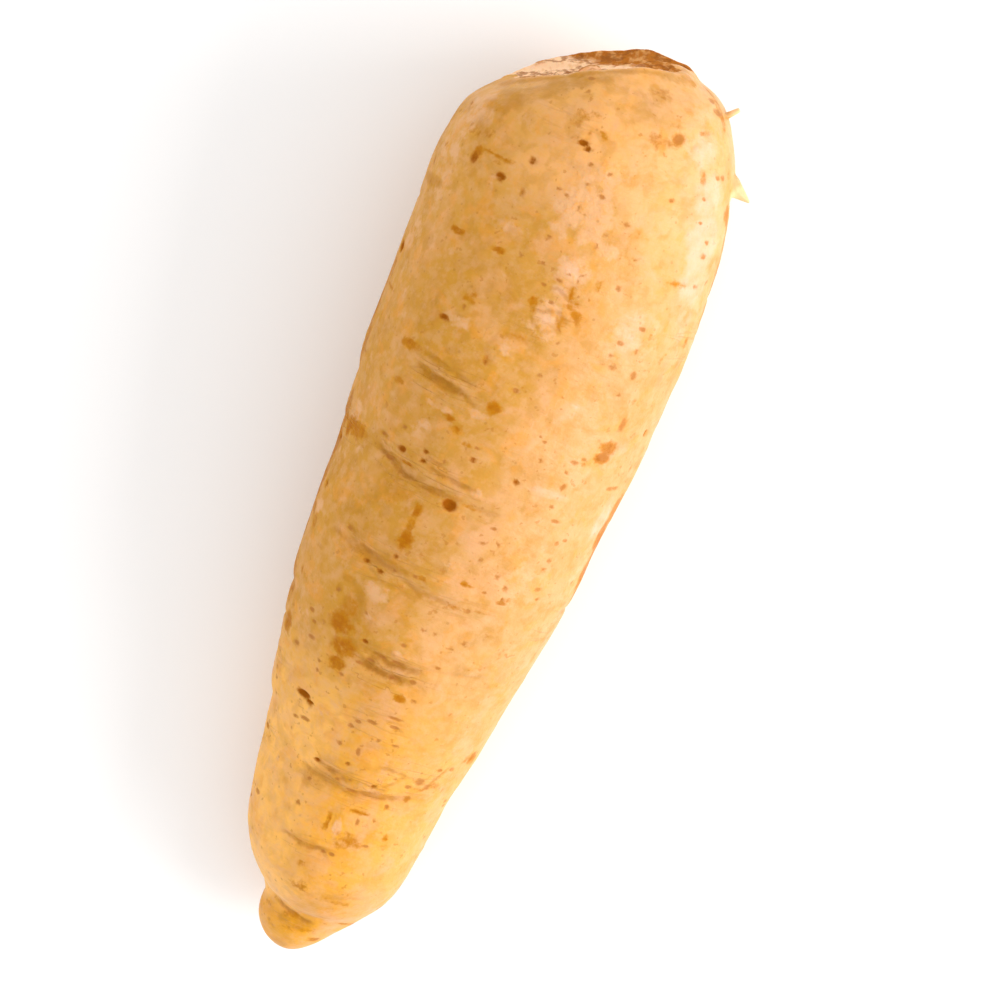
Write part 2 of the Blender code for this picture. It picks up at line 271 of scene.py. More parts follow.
DOTS = (
    Mark(10.1, -22, 0.9, 0.9),
    Mark(15.7, 66, 0.8, 0.8),
    Mark(15.9, 61, 0.9, 0.9),
    Mark(19.9, 53, 0.8, 0.8),
    Mark(21.1, -3, 0.9, 0.9),
    Mark(21.5, 6, 0.9, 0.9),
    Mark(21.9, 36, 0.9, 0.9),
    Mark(24, 55, 0.7, 0.7),
    Mark(24.4, 1, 0.7, 0.6),
    Mark(25.5, 8, 1.4, 0.9),
    Mark(27, -9, 0.8, 0.6),
    Mark(27, 62, 0.7, 0.8),
    Mark(27.5, -5, 0.9, 0.9),
    Mark(28.4, 21, 1.2, 0.9),
    Mark(29.4, 4, 0.8, 0.7),
    Mark(29.4, 62, 0.8, 1),
    Mark(31.4, 14, 0.8, 0.7),
    Mark(33.5, 13, 0.8, 0.7),
    Mark(33.5, 29, 0.8, 0.8),
    Mark(34.7, 63, 0.7, 0.8),
    Mark(35.1, -6, 1.2, 0.8),
    Mark(39.2, 26, 0.9, 0.9),
    Mark(39.6, -5, 1, 0.8),
    Mark(39.9, -14, 1, 0.8),
    Mark(44.4, 42, 1.2, 1),
    Mark(47.9, 35, 1.4, 1),
    Mark(48.5, 43, 0.8, 0.8),
    Mark(50.3, 33, 0.8, 0.7),
    Mark(51.8, -28, 0.8, 0.9),
    Mark(52.3, 36, 1.6, 1),
    Mark(52.7, 46, 1, 1.8),
    Mark(56.7, 44, 0.7, 0.7),
    Mark(57.9, 10, 0.7, 0.7),
    Mark(61.7, 53, 1, 3),
    Mark(67.9, 19, 0.6, 0.6),
    Mark(68.6, 22, 0.9, 0.7),
    Mark(69.5, 42, 1, 0.8),
    Mark(70.5, 38, 1.6, 0.9),
    Mark(71.9, 23, 0.9, 0.8),
    Mark(72.6, 36, 0.8, 0.8),
    Mark(73.9, 65, 0.9, 0.9),
    Mark(75.4, 37, 0.9, 1.6),
    Mark(79.3, 36, 1, 0.7),
    Mark(81.7, 41, 1.6, 0.8),
    Mark(84.8, 51, 0.8, 0.8),
    Mark(85.7, 47, 0.8, 1),
    Mark(86.3, 16, 1, 0.8),
    Mark(88.8, 20, 0.9, 0.8),
    Mark(89.1, 47, 1, 0.9),
    Mark(89.5, 14, 0.9, 0.7),
    Mark(90.9, 46, 0.8, 0.8),
    Mark(92.3, 16, 0.9, 0.7),
    Mark(94.4, 26, 0.9, 0.9),
    Mark(94.8, 48, 1.1, 0.9),
    Mark(96.6, 50, 0.7, 0.7),
    Mark(98, 24, 1, 0.6),
    Mark(99.8, -7, 1, 0.8),
    Mark(102.3, 21, 1.2, 1),
    Mark(108.5, 12, 0.8, 0.7),
    Mark(108.5, 27, 0.9, 0.9),
    Mark(108.6, 7, 1, 0.8),
    Mark(110.2, 22, 1.4, 0.7),
    Mark(114.4, -52, 1.1, 0.9),
    Mark(116.2, -49, 0.9, 0.8),
    Mark(119.2, -48, 1.4, 1),
    Mark(122, -59, 0.9, 0.9),
    Mark(122.4, -39, 0.9, 0.8),
    Mark(122.6, -24, 1.4, 0.8),
    Mark(124.3, -39, 0.7, 0.6),
    Mark(126.4, 11, 3, 0.7),
    Mark(128.1, 12, 2, 0.8),
    Mark(128.7, 0, 2, 0.8),
    Mark(129.7, -7, 1.4, 0.8),
    Mark(131.1, -10, 1.4, 0.9),
    Mark(131.7, 17, 1.6, 0.6),
    Mark(131.8, 7, 1, 0.6),
    Mark(134.2, 49, 1, 0.8),
    Mark(134.3, -39, 2, 0.9),
    Mark(135.2, -13, 1.1, 1),
    Mark(135.3, -1, 1, 1.6),
    Mark(137.4, 40, 2, 1.6),
    Mark(144.2, 29, 0.9, 0.9),
    Mark(144.7, -26, 1, 0.6),
    Mark(147.8, 24, 0.8, 0.8),
    Mark(148.9, 14, 0.8, 1.6),
    Mark(149.8, -27, 1.2, 0.9),
    Mark(152.8, 25, 1.3, 0.6),
    Mark(118.7, 12, 1.4, 1),
    Mark(156.5, 6, 1.4, 0.8),
    Mark(28.6, 1, 1, 0.9),
    Mark(116.1, 1, 2.4, 0.9),
    Mark(82.2, -39, 1.6, 0.8),
    Mark(143.4, 3, 2, 0.8),
    Mark(117.8, -12, 1.6, 0.7),
    Mark(78.3, -13, 0.9, 0.8),
    Mark(156.6, 0, 1.2, 0.6),
    Mark(116.2, -7, 1.6, 0.8),
    Mark(119, -17, 1.4, 0.7),
    Mark(119.2, 1, 1.6, 0.7),
    Mark(142.3, -8, 1, 0.6),
    Mark(112.4, 1, 1.2, 0.8),
    Mark(138.3, 47, 1.2, 1.2),
    Mark(139, 35, 1.4, 1),
    Mark(108.3, -39, 0.9, 0.8),
    Mark(7.9, -28, 1.2, 0.7),
    Mark(40.4, 10, 0.7, 0.7),
    Mark(41.4, 3, 0.8, 0.8),
    Mark(42.8, 12, 0.6, 0.6),
    Mark(43, -2, 0.9, 0.8),
    Mark(45.4, 3, 0.9, 0.8),
    Mark(114.4, 20, 0.9, 0.7),
    Mark(121.9, 16, 1, 0.7),
    Mark(133.8, 58, 0.8, 0.9),
    Mark(78.8, -45, 1, 0.6),
    Mark(73.8, -3, 1, 0.7),
    Mark(51.6, 11, 0.8, 0.7),
    Mark(49.3, 10, 0.8, 0.7),
    Mark(39.9, 6, 0.7, 0.7),
    Mark(97, -44, 1, 0.7),
    Mark(39.1, 11, 0.6, 0.6),
    Mark(138.1, 25, 0.8, 0.6),
    Mark(109.7, -21, 0.9, 0.7),
    Mark(75.8, -35, 0.8, 0.7),
    Mark(141.4, 0, 0.7, 0.6),
    Mark(100.4, -17, 0.7, 0.6),
    Mark(152.9, -65, 1, 1),
    Mark(134.9, -46, 1.2, 0.7),
    Mark(5.5, 63, 1.4, 1.2),
    Mark(4, 60, 1.2, 0.8),
    Mark(68.1, 52, 1.8, 1.6),
    Mark(11.9, 31, 1.6, 2),
)

STAINS = (
    Mark(13.5, -12, 3.4, 2, 0.6),
    Mark(15.7, -2, 1.7, 1.6, 0.8),
    Mark(35.2, 52, 3.4, 1.6, 0.7),
    Mark(26.9, -47, 1.4, 3),
    Mark(25.9, -38, 6.6, 0.8, 0.9),
    Mark(26.9, -36, 3, 0.7, 0.7),
    Mark(40.5, -43, 2.9, 1.5),
    Mark(40.6, -23, 2.4, 1.5),
    Mark(40, 18, 1.1, 3, 0.8),
    Mark(42.3, 9, 1.8, 1.9, 0.9),
    Mark(43.3, 9.5, 1.5, 2.2, 0.9),
    Mark(44, 13, 1.7, 0.9, 0.9),
    Mark(45.1, 10.5, 2.2, 1, 0.8),
    Mark(45.9, 14, 1.4, 2.2, 0.9),
    Mark(44.6, 11.5, 3.4, 3.2, 0.55),
    Mark(47.9, 9, 2, 2.2, 0.8),
    Mark(46.4, -3.5, 1.5, 2.8, 1),
    Mark(47.8, -2, 1.3, 1.2, 0.8),
    Mark(50.4, -27, 2.3, 1.6, 0.8),
    Mark(49.2, -26, 1.2, 1, 0.8),
    Mark(53.2, -5, 4.6, 1, 0.6),
    Mark(62, -44, 4.6, 2, 0.9),
    Mark(66.2, -2, 2.6, 2.6),
    Mark(68.9, -44, 2.6, 1.4, 0.7),
    Mark(70.8, -17, 2.3, 1.4),
    Mark(72.2, -13, 2.2, 1.8, 0.9),
    Mark(74, -7, 1.8, 1, 0.7),
    Mark(80.9, -66, 4, 3.2, 0.9),
    Mark(81.6, -29, 2.6, 1.1),
    Mark(84.2, 4, 4.4, 0.9, 0.6),
    Mark(88.6, -17, 1.8, 3.6),
    Mark(91.4, -17, 1.8, 1.4, 0.9),
    Mark(94.3, -17, 2.7, 4.2, 1.1),
    Mark(99.5, -4, 1.9, 1.3, 0.8),
    Mark(97.7, 15, 3, 1, 0.9),
    Mark(102.5, 15, 1.8, 1.1, 0.8),
    Mark(110.5, -30, 4, 4, 0.6),
    Mark(113.6, -32, 5, 4.2),
    Mark(117.5, -27, 5, 4),
    Mark(121, -28, 3.6, 2.6),
    Mark(122.4, 9, 2.4, 1.7, 1.1),
    Mark(146.8, 13, 3.8, 1.1, 1.1),
    Mark(150.6, -4, 1.3, 4.2, 0.9),
    Mark(152.3, 12, 5.2, 2.2, 0.7),
    Mark(154.4, 9, 3, 2, 0.6),
    Mark(150.3, 36, 1.5, 1.3, 0.9),
    Mark(165, -10, 3.2, 2.5, 0.7),
    Mark(160.3, -12, 2, 1.6, 0.7),
    Mark(173.5, -20, 3, 2, 0.7),
    Mark(177.4, 41, 2.4, 1.4, 0.9),
    Mark(177.5, -42, 3, 2.4, 0.45),
    Mark(175.6, 8, 5, 1.4, 0.5),
    Mark(152.8, 13, 5, 3, 0.6),
    Mark(160.3, -11, 2.4, 1.4, 0.6),
    Mark(164.9, -12, 4, 3, 0.6),
    Mark(165.9, 21, 6, 1.4, 0.6),
    Mark(122.5, -30, 1.8, 1.3, 0.6),
)

RUSTS = (
    Mark(12.2, 31, 2.4, 3.2, 0.9),
    Mark(13.2, 23, 6, 3.4, 0.6),
    Mark(10, 27, 3, 1.4, 0.5),
    Mark(5.6, 12, 5, 1.6, 0.5),
    Mark(16.6, 50, 1.3, 3.4, 0.8),
    Mark(17.6, -14, 2.4, 1.6, 0.5),
    Mark(46.6, 15, 1.8, 2.4, 0.9),
    Mark(46, 52, 1, 2.8, 0.5),
    Mark(66.4, 52, 2.8, 2.8, 1.1),
    Mark(68.6, 51, 2.6, 2, 1.3),
    Mark(66, 45, 2.6, 1.8, 0.4),
    Mark(70.4, 43, 1.8, 0.9, 0.8),
    Mark(75.2, 38, 0.9, 1.6, 0.7),
    Mark(99, 33, 1.9, 1),
    Mark(98, 36, 0.9, 1.1, 0.8),
    Mark(101.9, 27, 2.2, 0.7, 0.7),
    Mark(66.2, -1, 1.3, 1.1),
    Mark(87.3, 30, 1.6, 5, 0.3),
    Mark(109.2, 47, 1.6, 5, 0.4),
    Mark(114.6, -2, 2.6, 1.2, 0.5),
    Mark(128.5, 13, 1.3, 1.2, 0.5),
    Mark(127.6, 8, 1.6, 1, 0.5),
    Mark(129.5, -10, 2, 1.2, 0.5),
    Mark(137.6, 52, 1.8, 1.8, 0.7),
    Mark(139, 43, 2.2, 1.1, 0.7),
    Mark(141.7, 40, 1, 1.8, 0.9),
    Mark(144.6, 29, 1, 0.9, 0.9),
    Mark(152.2, 37, 2.2, 0.9, 0.7),
    Mark(149, 20, 1.2, 1.8, 0.5),
    Mark(176.6, -12, 2.4, 1.6, 0.6),
    Mark(23.6, -55, 3, 2, 0.6),
    Mark(23, -46, 2, 2, 0.6),
    Mark(14, -13, 4, 2, 0.6),
    Mark(15.9, -15, 3, 1.6, 0.6),
    Mark(16.5, -9, 1.4, 1.2, 0.6),
    Mark(6.1, 10, 4, 1.2, 0.6),
    Mark(35.4, 51, 3.4, 0.8, 0.6),
    Mark(33.9, 26, 3, 1, 0.6),
    Mark(45.5, -76, 0.8, 1.6, 0.6),
    Mark(45.3, 47, 1, 1.4, 0.6),
    Mark(57.2, 55, 2, 2, 0.6),
    Mark(64.5, -65, 0.9, 1.2, 0.6),
    Mark(59.8, -72, 0.8, 3, 0.6),
    Mark(9.6, 46, 2.4, 0.8, 0.6),
    Mark(97, 3, 2, 1.6, 0.6),
    Mark(95.4, -7, 2, 1, 0.6),
    Mark(91.8, 32, 1, 1.4, 0.6),
)

SCUFFS = (
    Mark(6.6, 51, 7, 5, 0.7),
    Mark(8.7, 34, 5.4, 4.2, 0.5),
    Mark(9.4, 55, 5, 5, 0.8),
    Mark(11.9, 40, 3, 4, 0.6),
    Mark(23, 4, 8, 8, 0.9),
    Mark(28.5, 2, 11, 8),
    Mark(32.1, 8, 6, 5, 0.8),
    Mark(33, -3, 4, 5, 0.8),
    Mark(36, -24, 4.6, 2.8, 0.9),
    Mark(39, 7, 6, 6, 1.1),
    Mark(33.6, 16, 4.6, 3.6, 0.9),
    Mark(46.9, 4, 5.4, 4.6, 1.1),
    Mark(50.6, 3, 5.6, 3.6, 0.9),
    Mark(54.6, -26, 3.4, 2.6, 0.8),
    Mark(56.2, -7, 2.8, 2.8),
    Mark(48, 34, 7, 8, 0.5),
    Mark(46, 44, 6, 8, 0.6),
    Mark(81.5, 4, 2.2, 2, 0.9),
    Mark(95.5, 6, 2.6, 1.6, 0.9),
    Mark(105, -20, 5, 3.4, 0.8),
    Mark(110, -18, 2.2, 1.4, 0.8),
    Mark(114.4, 1, 3.6, 1.4, 0.9),
    Mark(69, 45, 7, 6, 0.5),
    Mark(94, 40, 6, 12, 0.4),
    Mark(150.6, 3, 1.8, 4),
    Mark(138.3, 19, 6, 3, 0.4),
    Mark(131, -33, 4, 2.4, 0.6),
    Mark(172, 25, 3, 3, 0.7),
    Mark(29.6, -30, 7, 8, 0.3),
    Mark(30.2, -62, 4, 16, 0.6),
    Mark(20, -60, 5, 8, 0.8),
    Mark(69.8, -23, 8, 1.4, 0.8),
    Mark(68.3, -8, 6, 1.6, 0.8),
    Mark(73.6, -27, 3, 1.6, 0.7),
)

# Painted highlights: the pale band and glints on the lit right side, and painted reflected light at
# the crown's left, as a paler pinkish tint.
PAINTED_HIGHLIGHTS = (
    Mark(77.2, 31, 8, 1.6, 0.6),
    Mark(60.9, 28, 1.4, 1.1, 0.8),
    Mark(62.7, 28, 1.2, 2, 0.6),
    Mark(67.2, 58, 3, 6, 0.5),
    Mark(45.5, 37, 6, 8, 0.5),
    Mark(12.5, 49, 5, 7, 0.7),
    Mark(19.5, 57, 5, 9, 0.8),
    Mark(27, 60, 5.4, 11, 0.9),
    Mark(34, 61, 4.4, 11, 0.8),
    Mark(41, 63, 2.4, 12, 0.5),
    Mark(50, 64, 1.8, 16, 0.4),
    Mark(39, 7, 4, 3, 0.6),
    Mark(43, 4, 3, 2, 0.6),
    Mark(48.5, 4, 4, 2, 0.6),
    Mark(18.5, -66, 5, 12, 0.35),
    Mark(13, -56, 6, 4, 0.35),
)

# Shallow dents at the right edge whose dark colour is painted shade: the shaded side of a fold out of
# sight.
PAINTED_SHADE_DENTS = (
    Mark(78, 82, 5, 8, 1),
    Mark(83, 79, 4, 7, 1.2),
    Mark(86, 86, 6, 9, 1.3),
    Mark(91, 81, 4.6, 8, 1.2),
    Mark(95.5, 84, 3.6, 4, 0.9),
    Mark(80.5, 92, 3, 5, 0.7),
    Mark(91.5, 93, 3.6, 6, 0.7),
)

# Painted shade: orange-brown bands along both edges of the outline, where the underside turns away
# from the light.
PAINTED_EDGE_SHADES = (
    Mark(26, 83, 3.4, 9, 0.9),
    Mark(33, 85, 4, 8),
    Mark(39.5, 82, 3, 7, 0.9),
    Mark(45, 85, 3.6, 6, 0.9),
    Mark(35, 92, 2, 5, 0.7),
    Mark(5.5, 68, 2.2, 7, 0.8),
    Mark(79, -82, 4.6, 8),
    Mark(86, -85, 6, 9, 1.1),
    Mark(93.5, -82, 4.6, 9, 1.1),
    Mark(101, -85, 5, 8),
    Mark(89, -94, 3, 6, 0.8),
    Mark(53, -82, 4, 8, 0.8),
    Mark(60, -85, 5, 8, 0.9),
    Mark(67, -82, 4, 9, 0.9),
    Mark(63, -93, 2.6, 5, 0.7),
    Mark(28, -82, 5, 10, 0.6),
    Mark(112, -82, 5, 12, 0.8),
)

# Painted shade: olive-brown darkening, mostly on the left away from the key light and in the soft
# groove beside the crown's scar.
PAINTED_SHADES = (
    Mark(16, -50, 6, 5, 0.9),
    Mark(13, -40, 5, 3, 0.9),
    Mark(22, -50, 5, 6, 0.7),
    Mark(17.5, -52, 5, 5, 0.9),
    Mark(14.5, -44, 5, 4, 0.9),
    Mark(11.2, -38, 4.5, 3, 0.9),
    Mark(9, -30, 4, 2.6, 0.8),
    Mark(7.3, -22, 4, 2.2, 0.7),
    Mark(38, -30, 20, 8, 0.4),
    Mark(46, -25, 18, 8, 0.4),
    Mark(62, -25, 18, 7, 0.5),
    Mark(65.8, -24, 9, 2.2, 0.9),
    Mark(84.5, -28, 14, 4, 0.7),
    Mark(92, -38, 8, 8, 0.5),
    Mark(99.8, -24, 12, 2.4),
    Mark(103.2, -8, 14, 1.6, 0.7),
    Mark(110, -28, 5, 8, 0.9),
    Mark(114, -20, 6, 8, 0.6),
    Mark(118, -8, 10, 3, 0.7),
    Mark(123, -14, 12, 4, 0.4),
    Mark(144, -22, 9, 5, 0.8),
    Mark(141.6, -4, 7, 1.6, 0.7),
    Mark(157, -12, 9, 2, 0.4),
    Mark(174.5, -10, 8, 4, 0.7),
    Mark(86.5, -30, 6, 6, 0.8),
    Mark(75.7, -35, 1.3, 0.9, 0.8),
    Mark(103.1, -59, 1.8, 0.9, 0.8),
    Mark(105.5, -35, 3, 1.6, 0.8),
    Mark(107.8, -39, 0.9, 2, 0.8),
    Mark(115.6, -30, 2.4, 1.6, 0.8),
    Mark(122.1, -60, 1.5, 2.4, 0.8),
    Mark(112.3, 1, 2, 1, 0.8),
    Mark(114.4, 19, 2.4, 1, 0.8),
    Mark(55.1, -44, 6, 16, 0.4),
    Mark(94, -45, 12, 10, 0.4),
    Mark(30.7, -43, 6, 14, 0.4),
    Mark(39.8, -34, 14, 8, 0.4),
    Mark(89.2, -24, 10, 6, 0.4),
)

WRINKLES = (
    Mark(65, -26, 13, 7),
    Mark(82, -25, 17, 8),
    Mark(100, -20, 20, 8, 0.9),
    Mark(102, 16, 12, 5, 0.6),
    Mark(117.5, -2, 14, 7, 0.9),
    Mark(129, 2, 12, 7, 0.8),
    Mark(141.5, 2, 15, 8),
    Mark(138, 36, 10, 9, 0.7),
    Mark(156.5, -10, 10, 4, 0.6),
    Mark(172, -10, 10, 5, 0.7),
    Mark(16, -20, 9, 6, 0.6),
    Mark(48, 4, 8, 9, 0.5),
)

LINES = (
    Line(((61.9, -40), (62.4, -30), (63.3, -21), (64.1, -10)), 0.6, 0.18, 0.55),
    Line(((64.4, -40), (65.3, -30), (65.8, -23), (65.7, -15)), 0.9, 0.25, 0.8),
    Line(((65.2, -20), (66.4, -14), (67.4, -8)), 0.6, 0.15, 0.5),
    Line(((63.0, -42), (64.2, -27), (65.0, -16), (67.3, -4)), 0.9, -0.18, 0.7),
    Line(((78.4, -47), (79.1, -41)), 0.6, 0.15, 0.7),
    Line(((80.9, -50), (82.3, -38), (83.6, -29), (84.0, -20)), 0.7, 0.3, 1.0),
    Line(((84.1, -24), (84.0, -12), (83.9, 0)), 0.7, 0.25, 0.8),
    Line(((83.9, 0), (84.2, 10), (83.5, 19)), 0.6, 0.1, 0.35),
    Line(((79.2, -24), (80.2, -22), (80.7, -15), (81.2, -4), (81.1, 6)), 0.6, 0.18, 0.7),
    Line(((79.0, -22), (79.1, -12)), 0.5, 0.12, 0.6),
    Line(((82.6, -34), (83.0, -24), (82.6, -8), (82.4, 4)), 0.8, -0.12, 0.5),
    Line(((96.2, -46), (97.3, -39)), 0.5, 0.12, 0.6),
    Line(((98.6, -45), (98.9, -36), (99.8, -26), (100.8, -12)), 0.7, 0.2, 0.75),
    Line(((98.4, -56), (99.2, -45), (100.6, -37)), 0.6, 0.15, 0.4),
    Line(((100.5, -17), (102.0, -5), (102.4, 8), (102.3, 16)), 0.6, 0.15, 0.5),
    Line(((101.7, -30), (102.6, -20)), 0.5, 0.1, 0.4),
    Line(((99.3, -34), (100.3, -18), (101.5, -4), (101.5, 8)), 0.8, -0.12, 0.5),
    Line(((115.3, -20), (116.4, -12), (116.8, 0), (116.8, 8), (116.2, 16)), 0.8, 0.28, 1.0),
    Line(((117.9, -20), (119.0, -14), (119.3, -4), (119.2, 6), (118.8, 14)), 0.8, 0.28, 1.1),
    Line(((117.3, -15), (118.2, -9)), 0.8, 0.15, 0.7),
    Line(((117.6, -12), (117.9, 0), (117.5, 12)), 0.9, -0.2, 0.6),
    Line(((115.1, 14), (115.0, 28), (113.7, 53)), 0.6, 0.1, 0.25),
    Line(((128.0, 12), (128.8, 18)), 0.5, 0.1, 0.5),
    Line(((130.0, -48), (130.6, -42), (131.6, -36)), 0.7, 0.2, 0.9),
    Line(((139.9, -27), (141.2, -20), (141.6, -8), (141.8, 2)), 0.7, 0.25, 0.8),
    Line(((142.3, -36), (143.4, -24), (143.9, -8)), 0.7, 0.2, 0.5),
    Line(((144.5, -8), (144.0, 2), (143.2, 14), (142.6, 28), (141.4, 42)), 0.8, 0.25, 0.75),
    Line(((141.9, -10), (142.8, -4), (143.0, 2), (142.0, 8), (142.0, 20)), 0.8, -0.18, 0.6),
    Line(((137.4, 8), (136.6, 18), (136.9, 29), (138.8, 26), (141.0, 18), (141.6, 14)), 0.5, 0.1, 0.6),
    Line(((140.6, 12), (141.6, 16), (141.2, 24)), 0.7, 0.15, 0.7),
    Line(((133.0, 56), (135.6, 51), (138.4, 46)), 0.6, 0.12, 0.7),
    Line(((155.9, -36), (156.3, -24), (156.7, -12), (156.3, -2), (156.0, 8)), 0.6, 0.2, 0.8),
    Line(((165.6, -28), (166.4, -8), (165.8, 6)), 0.6, 0.1, 0.3),
    Line(((163.0, 48), (165.1, 16), (165.4, 2)), 0.6, 0.08, 0.25),
    Line(((168.0, -60), (169.8, -40), (170.9, -10), (169.8, 20)), 1.6, -0.25, 0.8),
    Line(((171.2, -62), (172.2, -42), (173.0, -22), (173.4, 0), (173.4, 22)), 0.7, 0.3, 0.9),
    Line(((57.5, 29), (61.2, 27), (66.8, 21), (73.3, 13)), 0.9, -0.06, 1.1),
    Line(((12.0, -24), (13.0, -12), (12.7, -6), (15.4, -2)), 0.6, -0.08, 0.5),
    Line(((43.5, -1), (42.8, 3), (43.7, 8), (44.5, 14)), 0.5, 0.12, 0.55),
    Line(((46.2, 15), (47.5, 11), (46.3, 6), (47.3, 1), (47.6, -3), (45.5, -4)), 0.5, 0.07, 0.5),
    Line(((49.5, 9), (50.8, 4), (50.1, -1), (47.6, -3)), 0.5, 0.07, 0.4),
    Line(((9.9, 42), (9.1, 50), (8.6, 55)), 0.5, 0.08, 0.5),
    Line(((11.5, 44), (12.9, 39)), 0.5, 0.08, 0.4),
    Line(((54.4, 6), (53.0, -2), (53.6, -11), (57.0, -14), (60.0, -8)), 0.7, 0.08, 0.35),
)


ROOTLETS = (
    Rootlet((18.2, 86.1, 28.0), (19.7, 87.8, 28.0), 0.9),
    Rootlet((23.7, 74.8, 27.1), (27.6, 73.3, 27.2), 2.9),
)

GROWTH_RINGS = (18.0, 39.0, 61.5, 80.0, 98.0, 115.0, 128.0, 141.5, 155.5)

FLAKES = (
    Flake(-14.8, -9.4, 1.8, -0.4, 0.0),
    Flake(-10.4, -4.6, 1.3, -0.4, 0.3),
    Flake(-3.6, 1.0, 1.7, -0.3, 1.6),
)


def smoothstep(values: np.ndarray) -> np.ndarray:
    """The values clipped to 0..1 and eased at both ends."""
    share = np.clip(values, 0.0, 1.0)
    return share * share * (3.0 - 2.0 * share)


def ridge(values: np.ndarray, width: float) -> np.ndarray:
    """A soft ridge, 1 where the values are 0 and gone beyond about two widths."""
    return np.exp(-((values / width) ** 2))


def distance_to_path(points: np.ndarray, corners: np.ndarray) -> tuple[np.ndarray, np.ndarray]:
    """Signed distance of points from a path in the plane.

    Args:
        points: One point a row.
        corners: The path's corners, one a row.

    Returns:
        The distance of each point, positive on the path's left, and how far on the path
        its nearest place is (0 to 1).
    """
    steps = np.linalg.norm(np.diff(corners, axis=0), axis=1)
    starts = np.concatenate([[0.0], np.cumsum(steps)])
    best = np.full(len(points), np.inf)
    share = np.zeros(len(points))
    for index, step in enumerate(steps):
        direction = (corners[index + 1] - corners[index]) / step
        offset = points - corners[index]
        part = np.clip(offset @ direction, 0.0, step)
        distance = np.linalg.norm(offset - part[:, None] * direction, axis=1)
        left = direction[0] * offset[:, 1] - direction[1] * offset[:, 0]
        closer = distance < np.abs(best)
        best[closer] = np.copysign(distance, left)[closer]
        share[closer] = (starts[index] + part[closer]) / starts[-1]
    return best, share


@dataclass(frozen=True)
class Waves:
    """A noise field that lifts the skin.

    Args:
        wave: The size of its waves, in millimetres.
        height: In millimetres.
        shift: A different number gives a different field.
        stretch: How much longer the waves are on each axis.
    """

    wave: float
    height: float
    shift: float
    stretch: Triple = (1.0, 1.0, 1.0)

    def at(self, points: np.ndarray) -> np.ndarray:
        """The lift at points in millimetres, one a row."""
        scaled = points / (self.wave * np.array(self.stretch)) + self.shift
        return np.array([noise.noise(Vector(row)) for row in scaled]) * self.height


@dataclass(frozen=True)
class Noise:
    """A noise pattern in a material.

    Args:
        wave: The size of its waves, in millimetres.
        detail: How many finer waves lie on them.
        stretch: How much finer the pattern is on each axis.
        distortion: How far it is warped.
        roughness: How strong the finer waves are.
        shift: A different number gives a different pattern.
    """

    wave: float
    detail: float = 3.0
    stretch: Triple = (1.0, 1.0, 1.0)
    distortion: float = 0.0
    roughness: float = 0.5
    shift: float = 0.0


